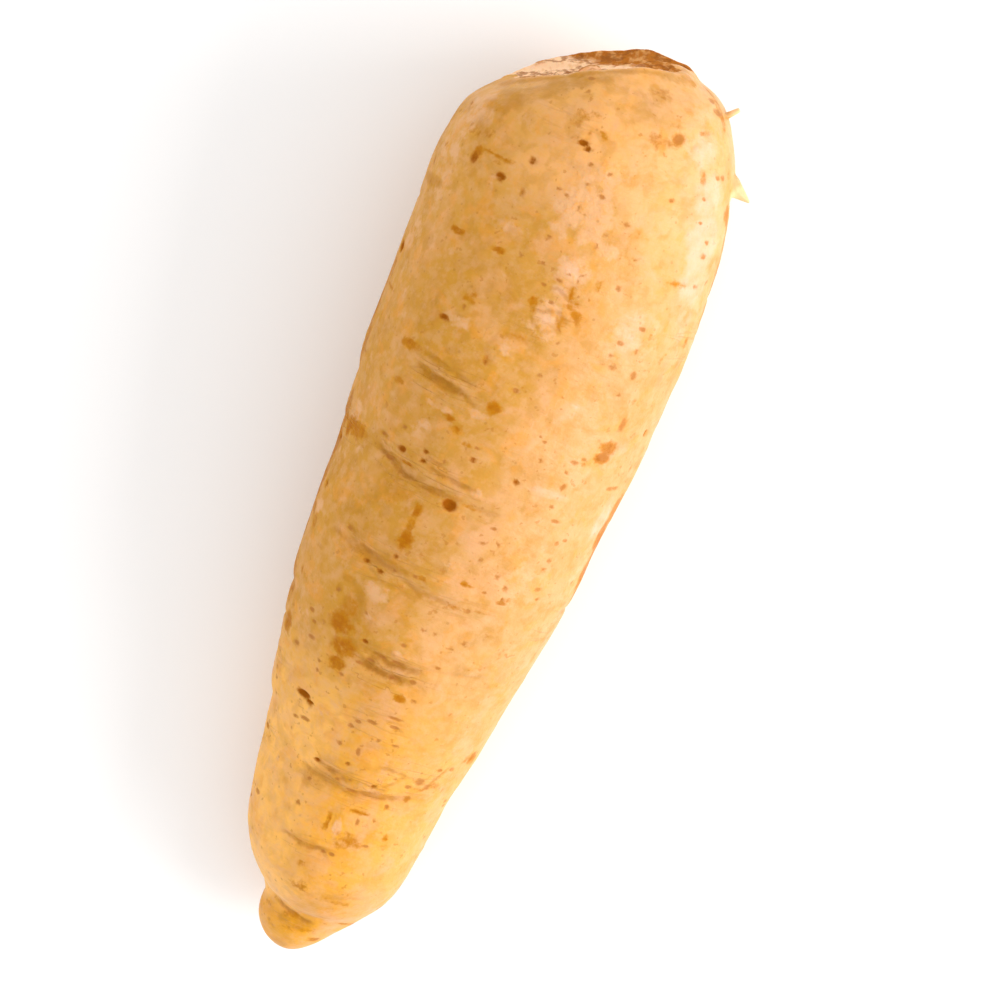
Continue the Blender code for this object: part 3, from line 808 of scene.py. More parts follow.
class Shader:
    """Builds a material's nodes, one short call for each step."""

    def __init__(self, name: str) -> None:
        """Starts a material.

        Args:
            name: The material's name.
        """
        self.material = bpy.data.materials.new(name)
        self.material.use_nodes = True
        self.tree = self.material.node_tree
        self.surface = self.tree.nodes["Principled BSDF"]
        coordinates = self.tree.nodes.new("ShaderNodeTexCoord")
        self.position = coordinates.outputs["Object"]

    def set(self, **values: float | Colour) -> None:
        """Sets uniform values on the surface: an underscore stands for a space."""
        for name, value in values.items():
            self.surface.inputs[name.replace("_", " ")].default_value = value

    def link(self, source: bpy.types.NodeSocket, target: bpy.types.NodeSocket) -> None:
        """Joins two sockets."""
        self.tree.links.new(source, target)

    def put(self, value: object, target: bpy.types.NodeSocket) -> None:
        """Gives a socket a constant or another socket's value.

        Args:
            value: The constant, or the socket to read.
            target: The socket that gets it.
        """
        if isinstance(value, bpy.types.NodeSocket):
            self.link(value, target)
        elif isinstance(value, tuple) and len(value) == 3 and target.type == "RGBA":
            target.default_value = (*value, 1.0)
        else:
            target.default_value = value

    def attribute(self, name: str) -> bpy.types.NodeSocket:
        """A value stored on the mesh.

        Args:
            name: Of the mesh attribute.

        Returns:
            The socket that gives it.
        """
        node = self.tree.nodes.new("ShaderNodeAttribute")
        node.attribute_name = name
        return node.outputs["Fac"]

    def layer(self, layer: Layer) -> bpy.types.NodeSocket:
        """A layer of the skin."""
        return self.attribute(layer.value)

    def along(self) -> bpy.types.NodeSocket:
        """The position on the root's long axis.

        Returns:
            The socket that gives it, in metres.
        """
        node = self.tree.nodes.new("ShaderNodeSeparateXYZ")
        self.link(self.position, node.inputs["Vector"])
        return node.outputs["Y"]

    def stretched(self, stretch: Triple, shift: float = 0.0) -> bpy.types.NodeSocket:
        """The position, scaled and then moved.

        Args:
            stretch: The scale on each axis.
            shift: How far it is moved on every axis.

        Returns:
            The socket that gives it.
        """
        node = self.tree.nodes.new("ShaderNodeMapping")
        node.inputs["Scale"].default_value = stretch
        node.inputs["Location"].default_value = (shift, shift, shift)
        self.link(self.position, node.inputs["Vector"])
        return node.outputs["Vector"]

    def noise(self, pattern: Noise) -> bpy.types.NodeSocket:
        """A noise pattern.

        Args:
            pattern: Its measures.

        Returns:
            The socket that gives it, 0 to 1.
        """
        node = self.tree.nodes.new("ShaderNodeTexNoise")
        node.inputs["Scale"].default_value = 1.0 / (pattern.wave * MM)
        node.inputs["Detail"].default_value = pattern.detail
        node.inputs["Distortion"].default_value = pattern.distortion
        node.inputs["Roughness"].default_value = pattern.roughness
        self.link(self.stretched(pattern.stretch, pattern.shift), node.inputs["Vector"])
        return node.outputs["Fac"]

    def uneven(self, pattern: Noise, amount: float) -> bpy.types.NodeSocket:
        """A noise pattern round zero, this much from its lowest to its highest value."""
        return self.math("MULTIPLY_ADD", self.noise(pattern), amount, -amount / 2)

    def cells(self, wave: float) -> bpy.types.NodeSocket:
        """Distance from the nearest of many scattered points.

        Args:
            wave: How far apart they are, in millimetres.

        Returns:
            The socket that gives the distance, as a share of that.
        """
        node = self.tree.nodes.new("ShaderNodeTexVoronoi")
        node.feature = "F1"
        node.inputs["Scale"].default_value = 1.0 / (wave * MM)
        self.link(self.stretched((1.0, 1.0, 1.0)), node.inputs["Vector"])
        return node.outputs["Distance"]

    def remap(
        self, value: object, low: float, high: float, to_low: float = 0.0, to_high: float = 1.0
    ) -> bpy.types.NodeSocket:
        """A value moved from one range to another, clamped and eased.

        Args:
            value: A number or a socket.
            low: Start of the first range.
            high: End of the first range.
            to_low: Start of the second range.
            to_high: End of the second range.

        Returns:
            The socket that gives the result.
        """
        node = self.tree.nodes.new("ShaderNodeMapRange")
        node.interpolation_type = "SMOOTHSTEP"
        self.put(value, node.inputs["Value"])
        node.inputs["From Min"].default_value = low
        node.inputs["From Max"].default_value = high
        node.inputs["To Min"].default_value = to_low
        node.inputs["To Max"].default_value = to_high
        return node.outputs["Result"]

    def math(
        self, operation: str, first: object, second: object = 0.0, third: object = 0.0
    ) -> bpy.types.NodeSocket:
        """One arithmetic step.

        Args:
            operation: The name of the step.
            first: A number or a socket, as the next two.
            second: The second operand.
            third: The third operand, where the step has one.

        Returns:
            The socket that gives the result.
        """
        node = self.tree.nodes.new("ShaderNodeMath")
        node.operation = operation
        for value, socket in zip((first, second, third), node.inputs):
            self.put(value, socket)
        return node.outputs["Value"]

    def times(self, *factors: object) -> bpy.types.NodeSocket:
        """The product of numbers and sockets, the first of which is a socket.

        Args:
            factors: Numbers or sockets.

        Returns:
            The socket that gives the product.
        """
        product = factors[0]
        for factor in factors[1:]:
            product = self.math("MULTIPLY", product, factor)
        return product

    def blend(self, share: object, first: object, second: object) -> bpy.types.NodeSocket:
        """Two colours mixed.

        Args:
            share: Of the second colour.
            first: A colour or a socket.
            second: A colour or a socket.

        Returns:
            The socket that gives the mix.
        """
        node = self.tree.nodes.new("ShaderNodeMix")
        node.data_type = "RGBA"
        self.put(share, node.inputs["Factor"])
        self.put(first, node.inputs[6])
        self.put(second, node.inputs[7])
        return node.outputs[2]

    def bump(
        self, height: object, distance: float, before: bpy.types.NodeSocket | None = None
    ) -> bpy.types.NodeSocket:
        """A bumped normal.

        Args:
            height: The socket that gives the height, 0 to 1.
            distance: The height of 1, in millimetres.
            before: A normal that is already bumped.

        Returns:
            The socket that gives the normal.
        """
        node = self.tree.nodes.new("ShaderNodeBump")
        node.inputs["Distance"].default_value = distance * MM
        self.put(height, node.inputs["Height"])
        if before is not None:
            self.link(before, node.inputs["Normal"])
        return node.outputs["Normal"]


@dataclass(frozen=True)
class Ramp:
    """Colours from the root's left to its right.

    Args:
        first: The colour at the left.
        steps: Where each next colour begins to show, where it is full, and the colour.
    """

    first: Colour
    steps: tuple[tuple[float, float, Colour], ...]

    def colour(self, shader: Shader, side: bpy.types.NodeSocket) -> bpy.types.NodeSocket:
        """The colour at a place.

        Args:
            shader: The material that is built.
            side: -1 at the left, 1 at the right.

        Returns:
            The socket that gives the colour.
        """
        colour = self.first
        for start, full, tint in self.steps:
            colour = shader.blend(shader.remap(side, start, full), colour, tint)
        return colour


@dataclass(frozen=True)
class Zone:
    """A stretch of the root with its own colours.

    Args:
        start: Where on the long axis it begins to show, in metres.
        full: Where it is full.
        amount: Its share there.
        ramp: Its colours.
        sides: Where it begins to show and is full across the root, if not everywhere.
    """

    start: float
    full: float
    amount: float
    ramp: Ramp
    sides: Span | None = None


@dataclass(frozen=True)
class Mottle:
    """Patches of another tint, where a noise pattern is high.

    Args:
        pattern: The noise.
        start: The noise value at which the tint begins to show.
        full: The value at which it is full.
        amount: Its share there.
        tint: Its colour.
    """

    pattern: Noise
    start: float
    full: float
    amount: float
    tint: Colour

    def over(
        self, shader: Shader, colour: object, further: object = 1.0
    ) -> bpy.types.NodeSocket:
        """The patches over a colour.

        Args:
            shader: The material that is built.
            colour: The colour so far.
            further: A further share, a number or a socket.

        Returns:
            The socket that gives the new colour.
        """
        shown = shader.remap(shader.noise(self.pattern), self.start, self.full)
        return shader.blend(shader.times(shown, further, self.amount), colour, self.tint)


@dataclass(frozen=True)
class Spot:
    """How the marks of one layer are painted.

    Args:
        layer: The marks.
        wave: The size of the waves in their edge, in millimetres.
        ragged: How uneven that edge is.
        start: The layer's value at which the tint begins to show.
        full: The value at which it is full.
        amount: Its share there.
        tint: Its colour.
    """

    layer: Layer
    wave: float
    ragged: float
    start: float
    full: float
    amount: float
    tint: Colour

    def share(self, shader: Shader) -> bpy.types.NodeSocket:
        """How much of the tint shows, before its amount is taken.

        Args:
            shader: The material that is built.

        Returns:
            The socket that gives the share.
        """
        rough = shader.math("SUBTRACT", shader.noise(Noise(self.wave, 4.0, roughness=0.6)), 0.5)
        uneven = shader.math("MULTIPLY_ADD", rough, self.ragged, shader.layer(self.layer))
        return shader.remap(uneven, self.start, self.full)

    def over(self, shader: Shader, colour: object) -> bpy.types.NodeSocket:
        """The marks over a colour.

        Args:
            shader: The material that is built.
            colour: The colour so far.

        Returns:
            The socket that gives the new colour.
        """
        return shader.blend(shader.times(self.share(shader), self.amount), colour, self.tint)


@dataclass(frozen=True)
class Crack:
    """A dark line that wanders across the scar.

    Args:
        rise: Where it lies in the scar's height.
        wave: The size of its bends, in millimetres.
        shift: A different number gives other bends.
    """

    rise: float
    wave: float
    shift: float


@dataclass(frozen=True)
class Bump:
    """Fine relief that the light shows and the mesh doesn't have.

    Args:
        pattern: The noise.
        height: In millimetres.
        layer: The marks that have it, if not all the skin.
    """

    pattern: Noise
    height: float
    layer: Layer | None = None


AMBER = (0.59, 0.275, 0.034)
ORANGE = (0.76, 0.30, 0.03)
OLIVE_BROWN = (0.45, 0.19, 0.018)
RUST_BROWN = (0.45, 0.15, 0.006)
FOLD_BROWN = (0.34, 0.12, 0.008)
PIT_BROWN = (0.34, 0.09, 0.0)
RUBBED = (0.74, 0.40, 0.185)
TAIL_RIGHT = (0.70, 0.345, 0.07)
CORK_TAN = (0.70, 0.33, 0.11)
TORN_FIBRES = Noise(1.1, 5.0, stretch=(1.0, 1.0, 0.3), shift=4.0)


@dataclass(frozen=True)
class ScarFinish:
    """The torn face: rusty, with tan streaks, and pale with dark cracks at its upper left.

    Args:
        face: Its edge and its darkest colour.
        streaks: The tan streaks on it.
        pale: The colour of its upper left part.
        fibres: The tan fibres in that part.
        border: The bends of that part's border.
        waver: How far the border strays, in the scar's half heights.
        upper: Between which heights that part begins, in half heights.
        left: Between which places on the length it ends, in half lengths.
        slant: How far that end moves for each half height.
        cracks: The cracks.
        crack: Their colour.
        crack_amount: How strongly they show.
        crack_width: Where a crack begins to fade and where it ends, in half heights.
        bend: How far a crack strays, in half heights.
    """

    face: Spot = Spot(Layer.SCAR, 1.0, 0.5, 0.4, 0.7, 1.0, (0.46, 0.150, 0.022))
    streaks: Mottle = Mottle(
        Noise(1.4, 5.0, stretch=(1.0, 1.0, 0.35)), 0.46, 0.68, 1.0, CORK_TAN
    )
    pale: Colour = (0.97, 0.61, 0.36)
    fibres: Mottle = Mottle(TORN_FIBRES, 0.5, 0.7, 0.4, CORK_TAN)
    border: Noise = Noise(2.4, 4.0, shift=2.0)
    waver: float = 0.8
    upper: Span = (-0.94, -0.74)
    left: Span = (0.45, 0.1)
    slant: float = -0.45
    cracks: tuple[Crack, ...] = (
        Crack(-0.55, 3.0, 9.0),
        Crack(-1.0, 3.6, 17.0),
        Crack(-0.1, 3.6, 23.0),
    )
    crack: Colour = (0.30, 0.095, 0.02)
    crack_amount: float = 0.7
    crack_width: Span = (0.03, 0.12)
    bend: float = 1.6

    def paint(self, shader: Shader, colour: bpy.types.NodeSocket) -> bpy.types.NodeSocket:
        """The torn face over the skin.

        Args:
            shader: The material that is built.
            colour: The colour so far.

        Returns:
            The socket that gives the new colour.
        """
        torn = self.streaks.over(shader, self.face.tint)
        height = shader.layer(Layer.SCAR_HEIGHT)
        waver = shader.uneven(self.border, self.waver)
        upper = shader.remap(shader.math("ADD", height, waver), *self.upper)
        length = shader.layer(Layer.SCAR_LENGTH)
        slanting = shader.math("MULTIPLY_ADD", height, self.slant, length)
        left = shader.remap(shader.math("ADD", slanting, waver), *self.left)
        pale = self.fibres.over(shader, self.pale)
        torn = shader.blend(shader.times(upper, left), torn, pale)
        for crack in self.cracks:
            bends = shader.noise(Noise(crack.wave, 5.0, shift=crack.shift))
            bends = shader.math("MULTIPLY_ADD", bends, self.bend, crack.rise)
            distance = shader.math("ABSOLUTE", shader.math("ADD", height, bends))
            shown = shader.remap(distance, *self.crack_width, self.crack_amount, 0.0)
            torn = shader.blend(shown, torn, self.crack)
        return shader.blend(self.face.share(shader), colour, torn)


@dataclass(frozen=True)
class SkinFinish:
    """The root's skin: waxy, amber on the left and peach on the right, the lit side, where the paler
    peach is partly painted sheen; with many marks.

    Args:
        body: The colours of the root's middle; the paler peach on the right is partly painted sheen.
        border: The bends of the borders between colours.
        waver: How far those stray, as a share of the root's half width.
        zones: The stretches of the root with colours of their own.
        clouds: Large and middling patches of other tints.
        flush: The rosy patches.
        flush_sides: Where across the root they begin to show and are full.
        flush_amount: Their share at the left and at the right.
        dusk: The darker patches.
        dusk_ends: Where on the long axis they begin to fade and are faint, in metres.
        dusk_amount: Their share before and after that.
        grain: Fine patches and specks.
        rubbed: Paler rubbed places, and pale patches of painted highlight and painted reflected light.
        rubbed_grain: The darker grain in them.
        shade: Painted olive shade.
        cross: The noise whose contour lines are the fine cross lines.
        cross_width: Their half width, as a step of that noise.
        wrinkle_share: How strongly they show everywhere, and what wrinkles add.
        line_edge: The bends of a fold's edge.
        line_waver: How far it strays, in half widths.
        line_width: Where a fold begins to fade and where it ends, in half widths.
        line_breaks: The noise that makes folds fainter in places.
        break_ends: The values at which a fold is faintest and full.
        break_share: How strongly it shows where it is faintest.
        lip_amount: How strongly the folds' pale lips show.
        fold_amount: How strongly the folds show.
        spots: Stains and rust spots, from the lowest coat to the highest.
        pore_wave: How far apart the pores are, in millimetres.
        pore_size: Where a pore begins to fade and where it ends, as shares of that.
        pore_amount: How strongly it shows.
        dots: Dark dots.
        halo: Values of a pit's layer at which its rusty halo begins and is full.
        halo_amount: The halo's share.
        pits: Pits.
        rootlet: The colour of the two rootlets.
        scar: The torn face.
        specular: The strength of the skin's highlights.
        marked_specular: The same on a mark, as a share.
        turned: Between which places at the left the skin is turned away.
        turned_specular: The same there, as a share.
        torn: Values of the scar's layer between which the highlights end.
        roughness: Of clean skin and of rubbed or torn skin.
        rubbed_roughness: How much of the second a rubbed place has.
        waxy: The noise that makes the skin less waxy in places.
        waxy_ends: The values at which it is most and least waxy.
        waxy_roughness: What is added where it is least waxy.
        bumps: The fine relief.
        fold_bump: The depth of the folds' shading, in millimetres.
        cross_bump: The same of the cross lines in wrinkles.
        cross_share: Their share elsewhere.
    """

    # The paler, less saturated peach on the right, the lit side, is partly the skin's own tone and
    # partly painted sheen of the key light.
    body: Ramp = Ramp(
        (0.60, 0.275, 0.022),
        ((-0.75, 0.0, AMBER), (0.0, 0.3, (0.67, 0.335, 0.105)), (0.3, 0.6, (0.61, 0.318, 0.10))),
    )
    border: Noise = Noise(14.0)
    waver: float = 0.9
    zones: tuple[Zone, ...] = (
        Zone(
            start=-0.020,
            full=-0.045,
            amount=0.92,
            ramp=Ramp(
                (0.98, 0.50, 0.105),
                ((-0.55, 0.0, (0.79, 0.355, 0.032)), (0.35, 0.7, TAIL_RIGHT)),
            ),
        ),
        Zone(start=0.038, full=0.07, amount=0.6, ramp=Ramp(TAIL_RIGHT, ())),
        Zone(
            start=0.058,
            full=0.068,
            amount=0.85,
            ramp=Ramp((0.85, 0.41, 0.12), ((-0.1, 0.35, (0.72, 0.385, 0.14)),)),
            sides=(-0.75, -0.15),
        ),
        Zone(start=-0.0795, full=-0.083, amount=0.85, ramp=Ramp((0.76, 0.33, 0.012), ())),
    )
    clouds: tuple[Mottle, ...] = (
        Mottle(Noise(8.0, 4.0, distortion=0.5), 0.5, 0.68, 0.30, OLIVE_BROWN),
        Mottle(Noise(5.0, 4.0, distortion=0.7, shift=11.0), 0.5, 0.66, 0.5, ORANGE),
    )
    flush: Mottle = Mottle(
        Noise(5.5, 5.0, distortion=0.8, shift=3.0), 0.46, 0.72, 1.0, (0.73, 0.36, 0.155)
    )
    flush_sides: Span = (-0.6, 0.2)
    flush_amount: Span = (0.35, 0.7)
    dusk: Mottle = Mottle(
        Noise(3.4, 5.0, distortion=0.4, shift=13.0), 0.52, 0.34, 1.0, (0.50, 0.215, 0.010)
    )
    dusk_ends: Span = (-0.020, -0.045)
    dusk_amount: Span = (0.4, 0.24)
    grain: tuple[Mottle, ...] = (
        Mottle(Noise(2.2, 5.0, roughness=0.62), 0.42, 0.66, 0.34, RUBBED),
        Mottle(Noise(1.3, 2.0, shift=7.0), 0.66, 0.72, 0.45, RUST_BROWN),
    )
    rubbed: tuple[Spot, ...] = (
        Spot(Layer.SCUFF, 3.2, 3.4, 0.3, 1.1, 0.85, RUBBED),
        # Painted highlight and painted reflected light, as a pale pinkish tint.
        Spot(Layer.PAINTED_HIGHLIGHT, 2.6, 1.3, 0.1, 1.2, 0.55, (0.80, 0.53, 0.42)),
    )
    rubbed_grain: Mottle = Mottle(Noise(1.5, 4.0, roughness=0.6), 0.5, 0.68, 0.5, ORANGE)
    # Painted olive shade.
    shade: Spot = Spot(Layer.PAINTED_SHADE, 2.6, 2.0, 0.2, 1.2, 0.6, OLIVE_BROWN)
    cross: Noise = Noise(2.1, 2.0, stretch=(0.16, 1.0, 0.16), distortion=0.3)
    cross_width: float = 0.06
    wrinkle_share: Span = (0.05, 0.26)
    line_edge: Noise = Noise(0.9, 4.0, roughness=0.6)
    line_waver: float = 1.6
    line_width: Span = (0.2, 1.6)
    line_breaks: Noise = Noise(2.2, shift=5.0)
    break_ends: Span = (0.32, 0.55)
    break_share: float = 0.35
    lip_amount: float = 0.5
    fold_amount: float = 0.62
    spots: tuple[Spot, ...] = (
        # The stain layer also holds the painted shade of the dents at the right edge, so these tints
        # paint that shade too.
        Spot(Layer.STAIN, 1.6, 2.0, 0.25, 0.95, 0.9, (0.50, 0.18, 0.0)),
        Spot(Layer.STAIN, 1.0, 1.8, 0.65, 1.3, 0.75, (0.42, 0.12, 0.0)),
        # The rust layer also holds the painted shade bands along the outline, so these tints paint
        # that shade too.
        Spot(Layer.RUST, 1.3, 2.0, 0.3, 1.05, 0.8, RUST_BROWN),
        Spot(Layer.RUST, 1.0, 1.8, 0.9, 1.6, 0.8, PIT_BROWN),
    )
    pore_wave: float = 3.4
    pore_size: Span = (0.05, 0.10)
    pore_amount: float = 0.3
    dots: Spot = Spot(Layer.DOT, 0.8, 1.4, 0.2, 1.1, 0.85, (0.44, 0.16, 0.03))
    halo: Span = (0.05, 0.5)
    halo_amount: float = 0.5
    pits: Spot = Spot(Layer.PIT, 0.9, 1.1, 0.3, 0.95, 1.0, PIT_BROWN)
    rootlet: Colour = (0.86, 0.54, 0.27)
    scar: ScarFinish = ScarFinish()
    specular: float = 0.32
    marked_specular: float = 0.3
    turned: Span = (-0.98, -0.75)
    turned_specular: float = 0.3
    torn: Span = (0.3, 0.9)
    roughness: Span = (0.36, 0.62)
    rubbed_roughness: float = 0.4
    waxy: Noise = Noise(3.0, 4.0)
    waxy_ends: Span = (0.3, 0.7)
    waxy_roughness: float = 0.12
    bumps: tuple[Bump, ...] = (
        Bump(Noise(3.2, 4.0, stretch=(0.7, 1.2, 0.7)), 0.35),
        Bump(Noise(0.6), 0.06),
        Bump(TORN_FIBRES, 0.5, Layer.SCAR),
        Bump(Noise(1.5, 4.0), 0.3, Layer.SCUFF),
    )
    fold_bump: float = 0.08
    cross_bump: float = 0.07
    cross_share: float = 0.1

    def build(self) -> bpy.types.Material:
        """The skin's material.

        Returns:
            The material.
        """
        shader = Shader("root_skin")
        colour = self.ground(shader)
        # Rubbed places, then pale patches of painted highlight.
        for spot in self.rubbed:
            colour = spot.over(shader, colour)
        colour = self.rubbed_grain.over(shader, colour, shader.layer(Layer.SCUFF))
        colour = self.add_wrinkles(shader, colour)
        colour = self.add_spots(shader, colour)
        colour = self.scar.paint(shader, colour)
        shader.link(colour, shader.surface.inputs["Base Color"])
        shader.link(self.dullness(shader), shader.surface.inputs["Roughness"])
        shader.link(self.mirror(shader), shader.surface.inputs["Specular IOR Level"])
        shader.link(self.relief(shader), shader.surface.inputs["Normal"])
        shader.set(
            Subsurface_Weight=0.15,
            Subsurface_Radius=(1.0, 0.4, 0.15),
            Subsurface_Scale=2.5 * MM,
            IOR=1.42,
        )
        return shader.material

    def ground(self, shader: Shader) -> bpy.types.NodeSocket:
        """The skin's broad colours and its soft mottling.

        Args:
            shader: The material that is built.

        Returns:
            The socket that gives the colour.
        """
        waver = shader.uneven(self.border, self.waver)
        side = shader.math("ADD", shader.layer(Layer.SIDE), waver)
        colour = self.body.colour(shader, side)
        for zone in self.zones:
            share = shader.remap(shader.along(), zone.start, zone.full)
            if zone.sides is not None:
                share = shader.times(share, shader.remap(side, *zone.sides))
            share = shader.times(share, zone.amount)
            colour = shader.blend(share, colour, zone.ramp.colour(shader, side))
        for mottle in self.clouds:
            colour = mottle.over(shader, colour)
        rosy = shader.remap(shader.layer(Layer.SIDE), *self.flush_sides, *self.flush_amount)
        colour = self.flush.over(shader, colour, rosy)
        dark = shader.remap(shader.along(), *self.dusk_ends, *self.dusk_amount)
        colour = self.dusk.over(shader, colour, dark)
        for mottle in self.grain:
            colour = mottle.over(shader, colour)
        return colour

    def add_wrinkles(self, shader: Shader, colour: bpy.types.NodeSocket) -> bpy.types.NodeSocket:
        """Painted olive shade, bundles of fine cross lines, and the folds with their pale lips.

        Args:
            shader: The material that is built.
            colour: The colour so far.

        Returns:
            The socket that gives the new colour.
        """
        colour = self.shade.over(shader, colour)
        everywhere, more = self.wrinkle_share
        share = shader.math("MULTIPLY_ADD", shader.layer(Layer.WRINKLE), more, everywhere)
        crossed = shader.times(self.cross_lines(shader), share)
        colour = shader.blend(crossed, colour, OLIVE_BROWN)
        lips = shader.times(self.line(shader, Layer.LIP, Layer.LIP_SIDE), self.lip_amount)
        colour = shader.blend(lips, colour, RUBBED)
        folds = shader.times(self.line(shader, Layer.FOLD, Layer.FOLD_SIDE), self.fold_amount)
        return shader.blend(folds, colour, FOLD_BROWN)

    def cross_lines(self, shader: Shader) -> bpy.types.NodeSocket:
        """Thin lines that run round the root, as the contour lines of a stretched noise.

        Args:
            shader: The material that is built.

        Returns:
            The socket that gives them, 1 in a line's middle.
        """
        height = shader.math("SUBTRACT", shader.noise(self.cross), 0.5)
        return shader.remap(shader.math("ABSOLUTE", height), 0.0, self.cross_width, 1.0, 0.0)

    def line(self, shader: Shader, strength: Layer, side: Layer) -> bpy.types.NodeSocket:
        """The nearest fold or lip, as a soft stroke with an uneven edge.

        Args:
            shader: The material that is built.
            strength: The layer that holds how strongly it shows.
            side: The layer that holds the distance from it.

        Returns:
            The socket that gives it, 1 in the line's middle.
        """
        uneven = shader.uneven(self.line_edge, self.line_waver)
        distance = shader.math("ABSOLUTE", shader.math("ADD", shader.layer(side), uneven))
        stroke = shader.remap(distance, *self.line_width, 1.0, 0.0)
        pattern = shader.noise(self.line_breaks)
        breaks = shader.remap(pattern, *self.break_ends, self.break_share, 1.0)
        return shader.times(stroke, breaks, shader.layer(strength))

    def add_spots(self, shader: Shader, colour: bpy.types.NodeSocket) -> bpy.types.NodeSocket:
        """Stains, rust spots, pores, the rootlets' skin, dots and pits.

        Args:
            shader: The material that is built.
            colour: The colour so far.

        Returns:
            The socket that gives the new colour.
        """
        for spot in self.spots:
            colour = spot.over(shader, colour)
        pores = shader.remap(shader.cells(self.pore_wave), *self.pore_size, self.pore_amount, 0.0)
        colour = shader.blend(pores, colour, FOLD_BROWN)
        colour = shader.blend(shader.layer(Layer.ROOTLET), colour, self.rootlet)
        colour = self.dots.over(shader, colour)
        halo = shader.remap(shader.layer(Layer.PIT), *self.halo, 0.0, self.halo_amount)
        colour = shader.blend(halo, colour, RUST_BROWN)
        return self.pits.over(shader, colour)

    def worn(self, shader: Shader) -> bpy.types.NodeSocket:
        """How far the skin has lost its wax: in the scar, in pits and in rubbed places.

        Args:
            shader: The material that is built.

        Returns:
            The socket that gives it, 0 to 1 or a little more.
        """
        worn = shader.math("ADD", shader.layer(Layer.SCAR), shader.layer(Layer.PIT))
        return shader.math("MULTIPLY_ADD", shader.layer(Layer.SCUFF), self.rubbed_roughness, worn)

    def dullness(self, shader: Shader) -> bpy.types.NodeSocket:
        """The roughness.

        Args:
            shader: The material that is built.

        Returns:
            The socket that gives it.
        """
        pattern = shader.noise(self.waxy)
        waxy = shader.remap(pattern, *self.waxy_ends, 0.0, self.waxy_roughness)
        return shader.math("ADD", shader.remap(self.worn(shader), 0.0, 1.0, *self.roughness), waxy)

    def mirror(self, shader: Shader) -> bpy.types.NodeSocket:
        """The strength of the highlights: less on marks and none in the scar.

        Args:
            shader: The material that is built.

        Returns:
            The socket that gives it.
        """
        marked = self.worn(shader)
        for layer in (Layer.STAIN, Layer.DOT, Layer.PAINTED_SHADE, Layer.RUST):
            marked = shader.math("ADD", marked, shader.layer(layer))
        folds = self.line(shader, Layer.FOLD, Layer.FOLD_SIDE)
        marked = shader.math("ADD", marked, folds)
        lowest = self.specular * self.marked_specular
        mirror = shader.remap(marked, 0.0, 1.0, self.specular, lowest)
        side = shader.layer(Layer.SIDE)
        turned = shader.remap(side, *self.turned, self.turned_specular, 1.0)
        torn = shader.remap(shader.layer(Layer.SCAR), *self.torn, 1.0, 0.0)
        return shader.times(mirror, turned, torn)

    def relief(self, shader: Shader) -> bpy.types.NodeSocket:
        """The bumped normal.

        Args:
            shader: The material that is built.

        Returns:
            The socket that gives it.
        """
        normal = None
        for bump in self.bumps:
            height = shader.noise(bump.pattern)
            if bump.layer is not None:
                height = shader.times(height, shader.layer(bump.layer))
            normal = shader.bump(height, bump.height, normal)
        folds = shader.times(self.line(shader, Layer.FOLD, Layer.FOLD_SIDE), -1.0)
        normal = shader.bump(folds, self.fold_bump, normal)
        depth = shader.math("MULTIPLY_ADD", shader.layer(Layer.WRINKLE), -1.0, -self.cross_share)
        return shader.bump(shader.times(self.cross_lines(shader), depth), self.cross_bump, normal)


@dataclass(frozen=True)
class TornSkinFinish:
    """The flakes: pale peach, warm at the root, and brown on the torn edge and along a crack.

    Args:
        pale: The lightest colour.
        warm: The colour of its fibres and of the flake's root.
        brown: The colour of the torn edge and of the crack.
        root: Between which shares of a flake's reach the root's colour ends.
        edge: Between which shares of it the edge's colour begins.
        waver: How far both stray.
        crack: Where the crack lies in the reach.
        crack_bend: How far it strays.
        crack_width: Where it begins to fade and where it ends.
        crack_amount: How strongly it shows.
    """

    pale: Colour = (0.94, 0.57, 0.33)
    warm: Colour = (0.90, 0.50, 0.24)
    brown: Colour = (0.50, 0.20, 0.05)
    root: Span = (0.48, 0.30)
    edge: Span = (0.86, 1.0)
    waver: float = 0.3
    crack: float = 0.62
    crack_bend: float = 1.5
    crack_width: Span = (0.03, 0.12)
    crack_amount: float = 0.5

    def build(self) -> bpy.types.Material:
        """The flakes' material.

        Returns:
            The material.
        """
        shader = Shader("torn_skin")
        fibres = shader.remap(shader.noise(Noise(1.2, 4.0)), 0.45, 0.65)
        colour = shader.blend(fibres, self.pale, self.warm)
        edge = shader.math("ADD", shader.attribute("edge"), shader.uneven(Noise(0.8), self.waver))
        colour = shader.blend(shader.remap(edge, *self.root), colour, self.warm)
        colour = shader.blend(shader.remap(edge, *self.edge), colour, self.brown)
        bends = shader.uneven(Noise(2.6, 4.0, shift=3.0), self.crack_bend)
        distance = shader.math("ADD", shader.math("ADD", edge, bends), -self.crack)
        distance = shader.math("ABSOLUTE", distance)
        crack = shader.remap(distance, *self.crack_width, self.crack_amount, 0.0)
        colour = shader.blend(crack, colour, self.brown)
        shader.link(colour, shader.surface.inputs["Base Color"])
        normal = shader.bump(shader.noise(Noise(0.6)), 0.08)
        shader.link(normal, shader.surface.inputs["Normal"])
        shader.set(Roughness=0.6, Specular_IOR_Level=0.05, Subsurface_Weight=0.1)
        shader.set(Subsurface_Radius=(1.0, 0.5, 0.2), Subsurface_Scale=1.0 * MM)
        return shader.material


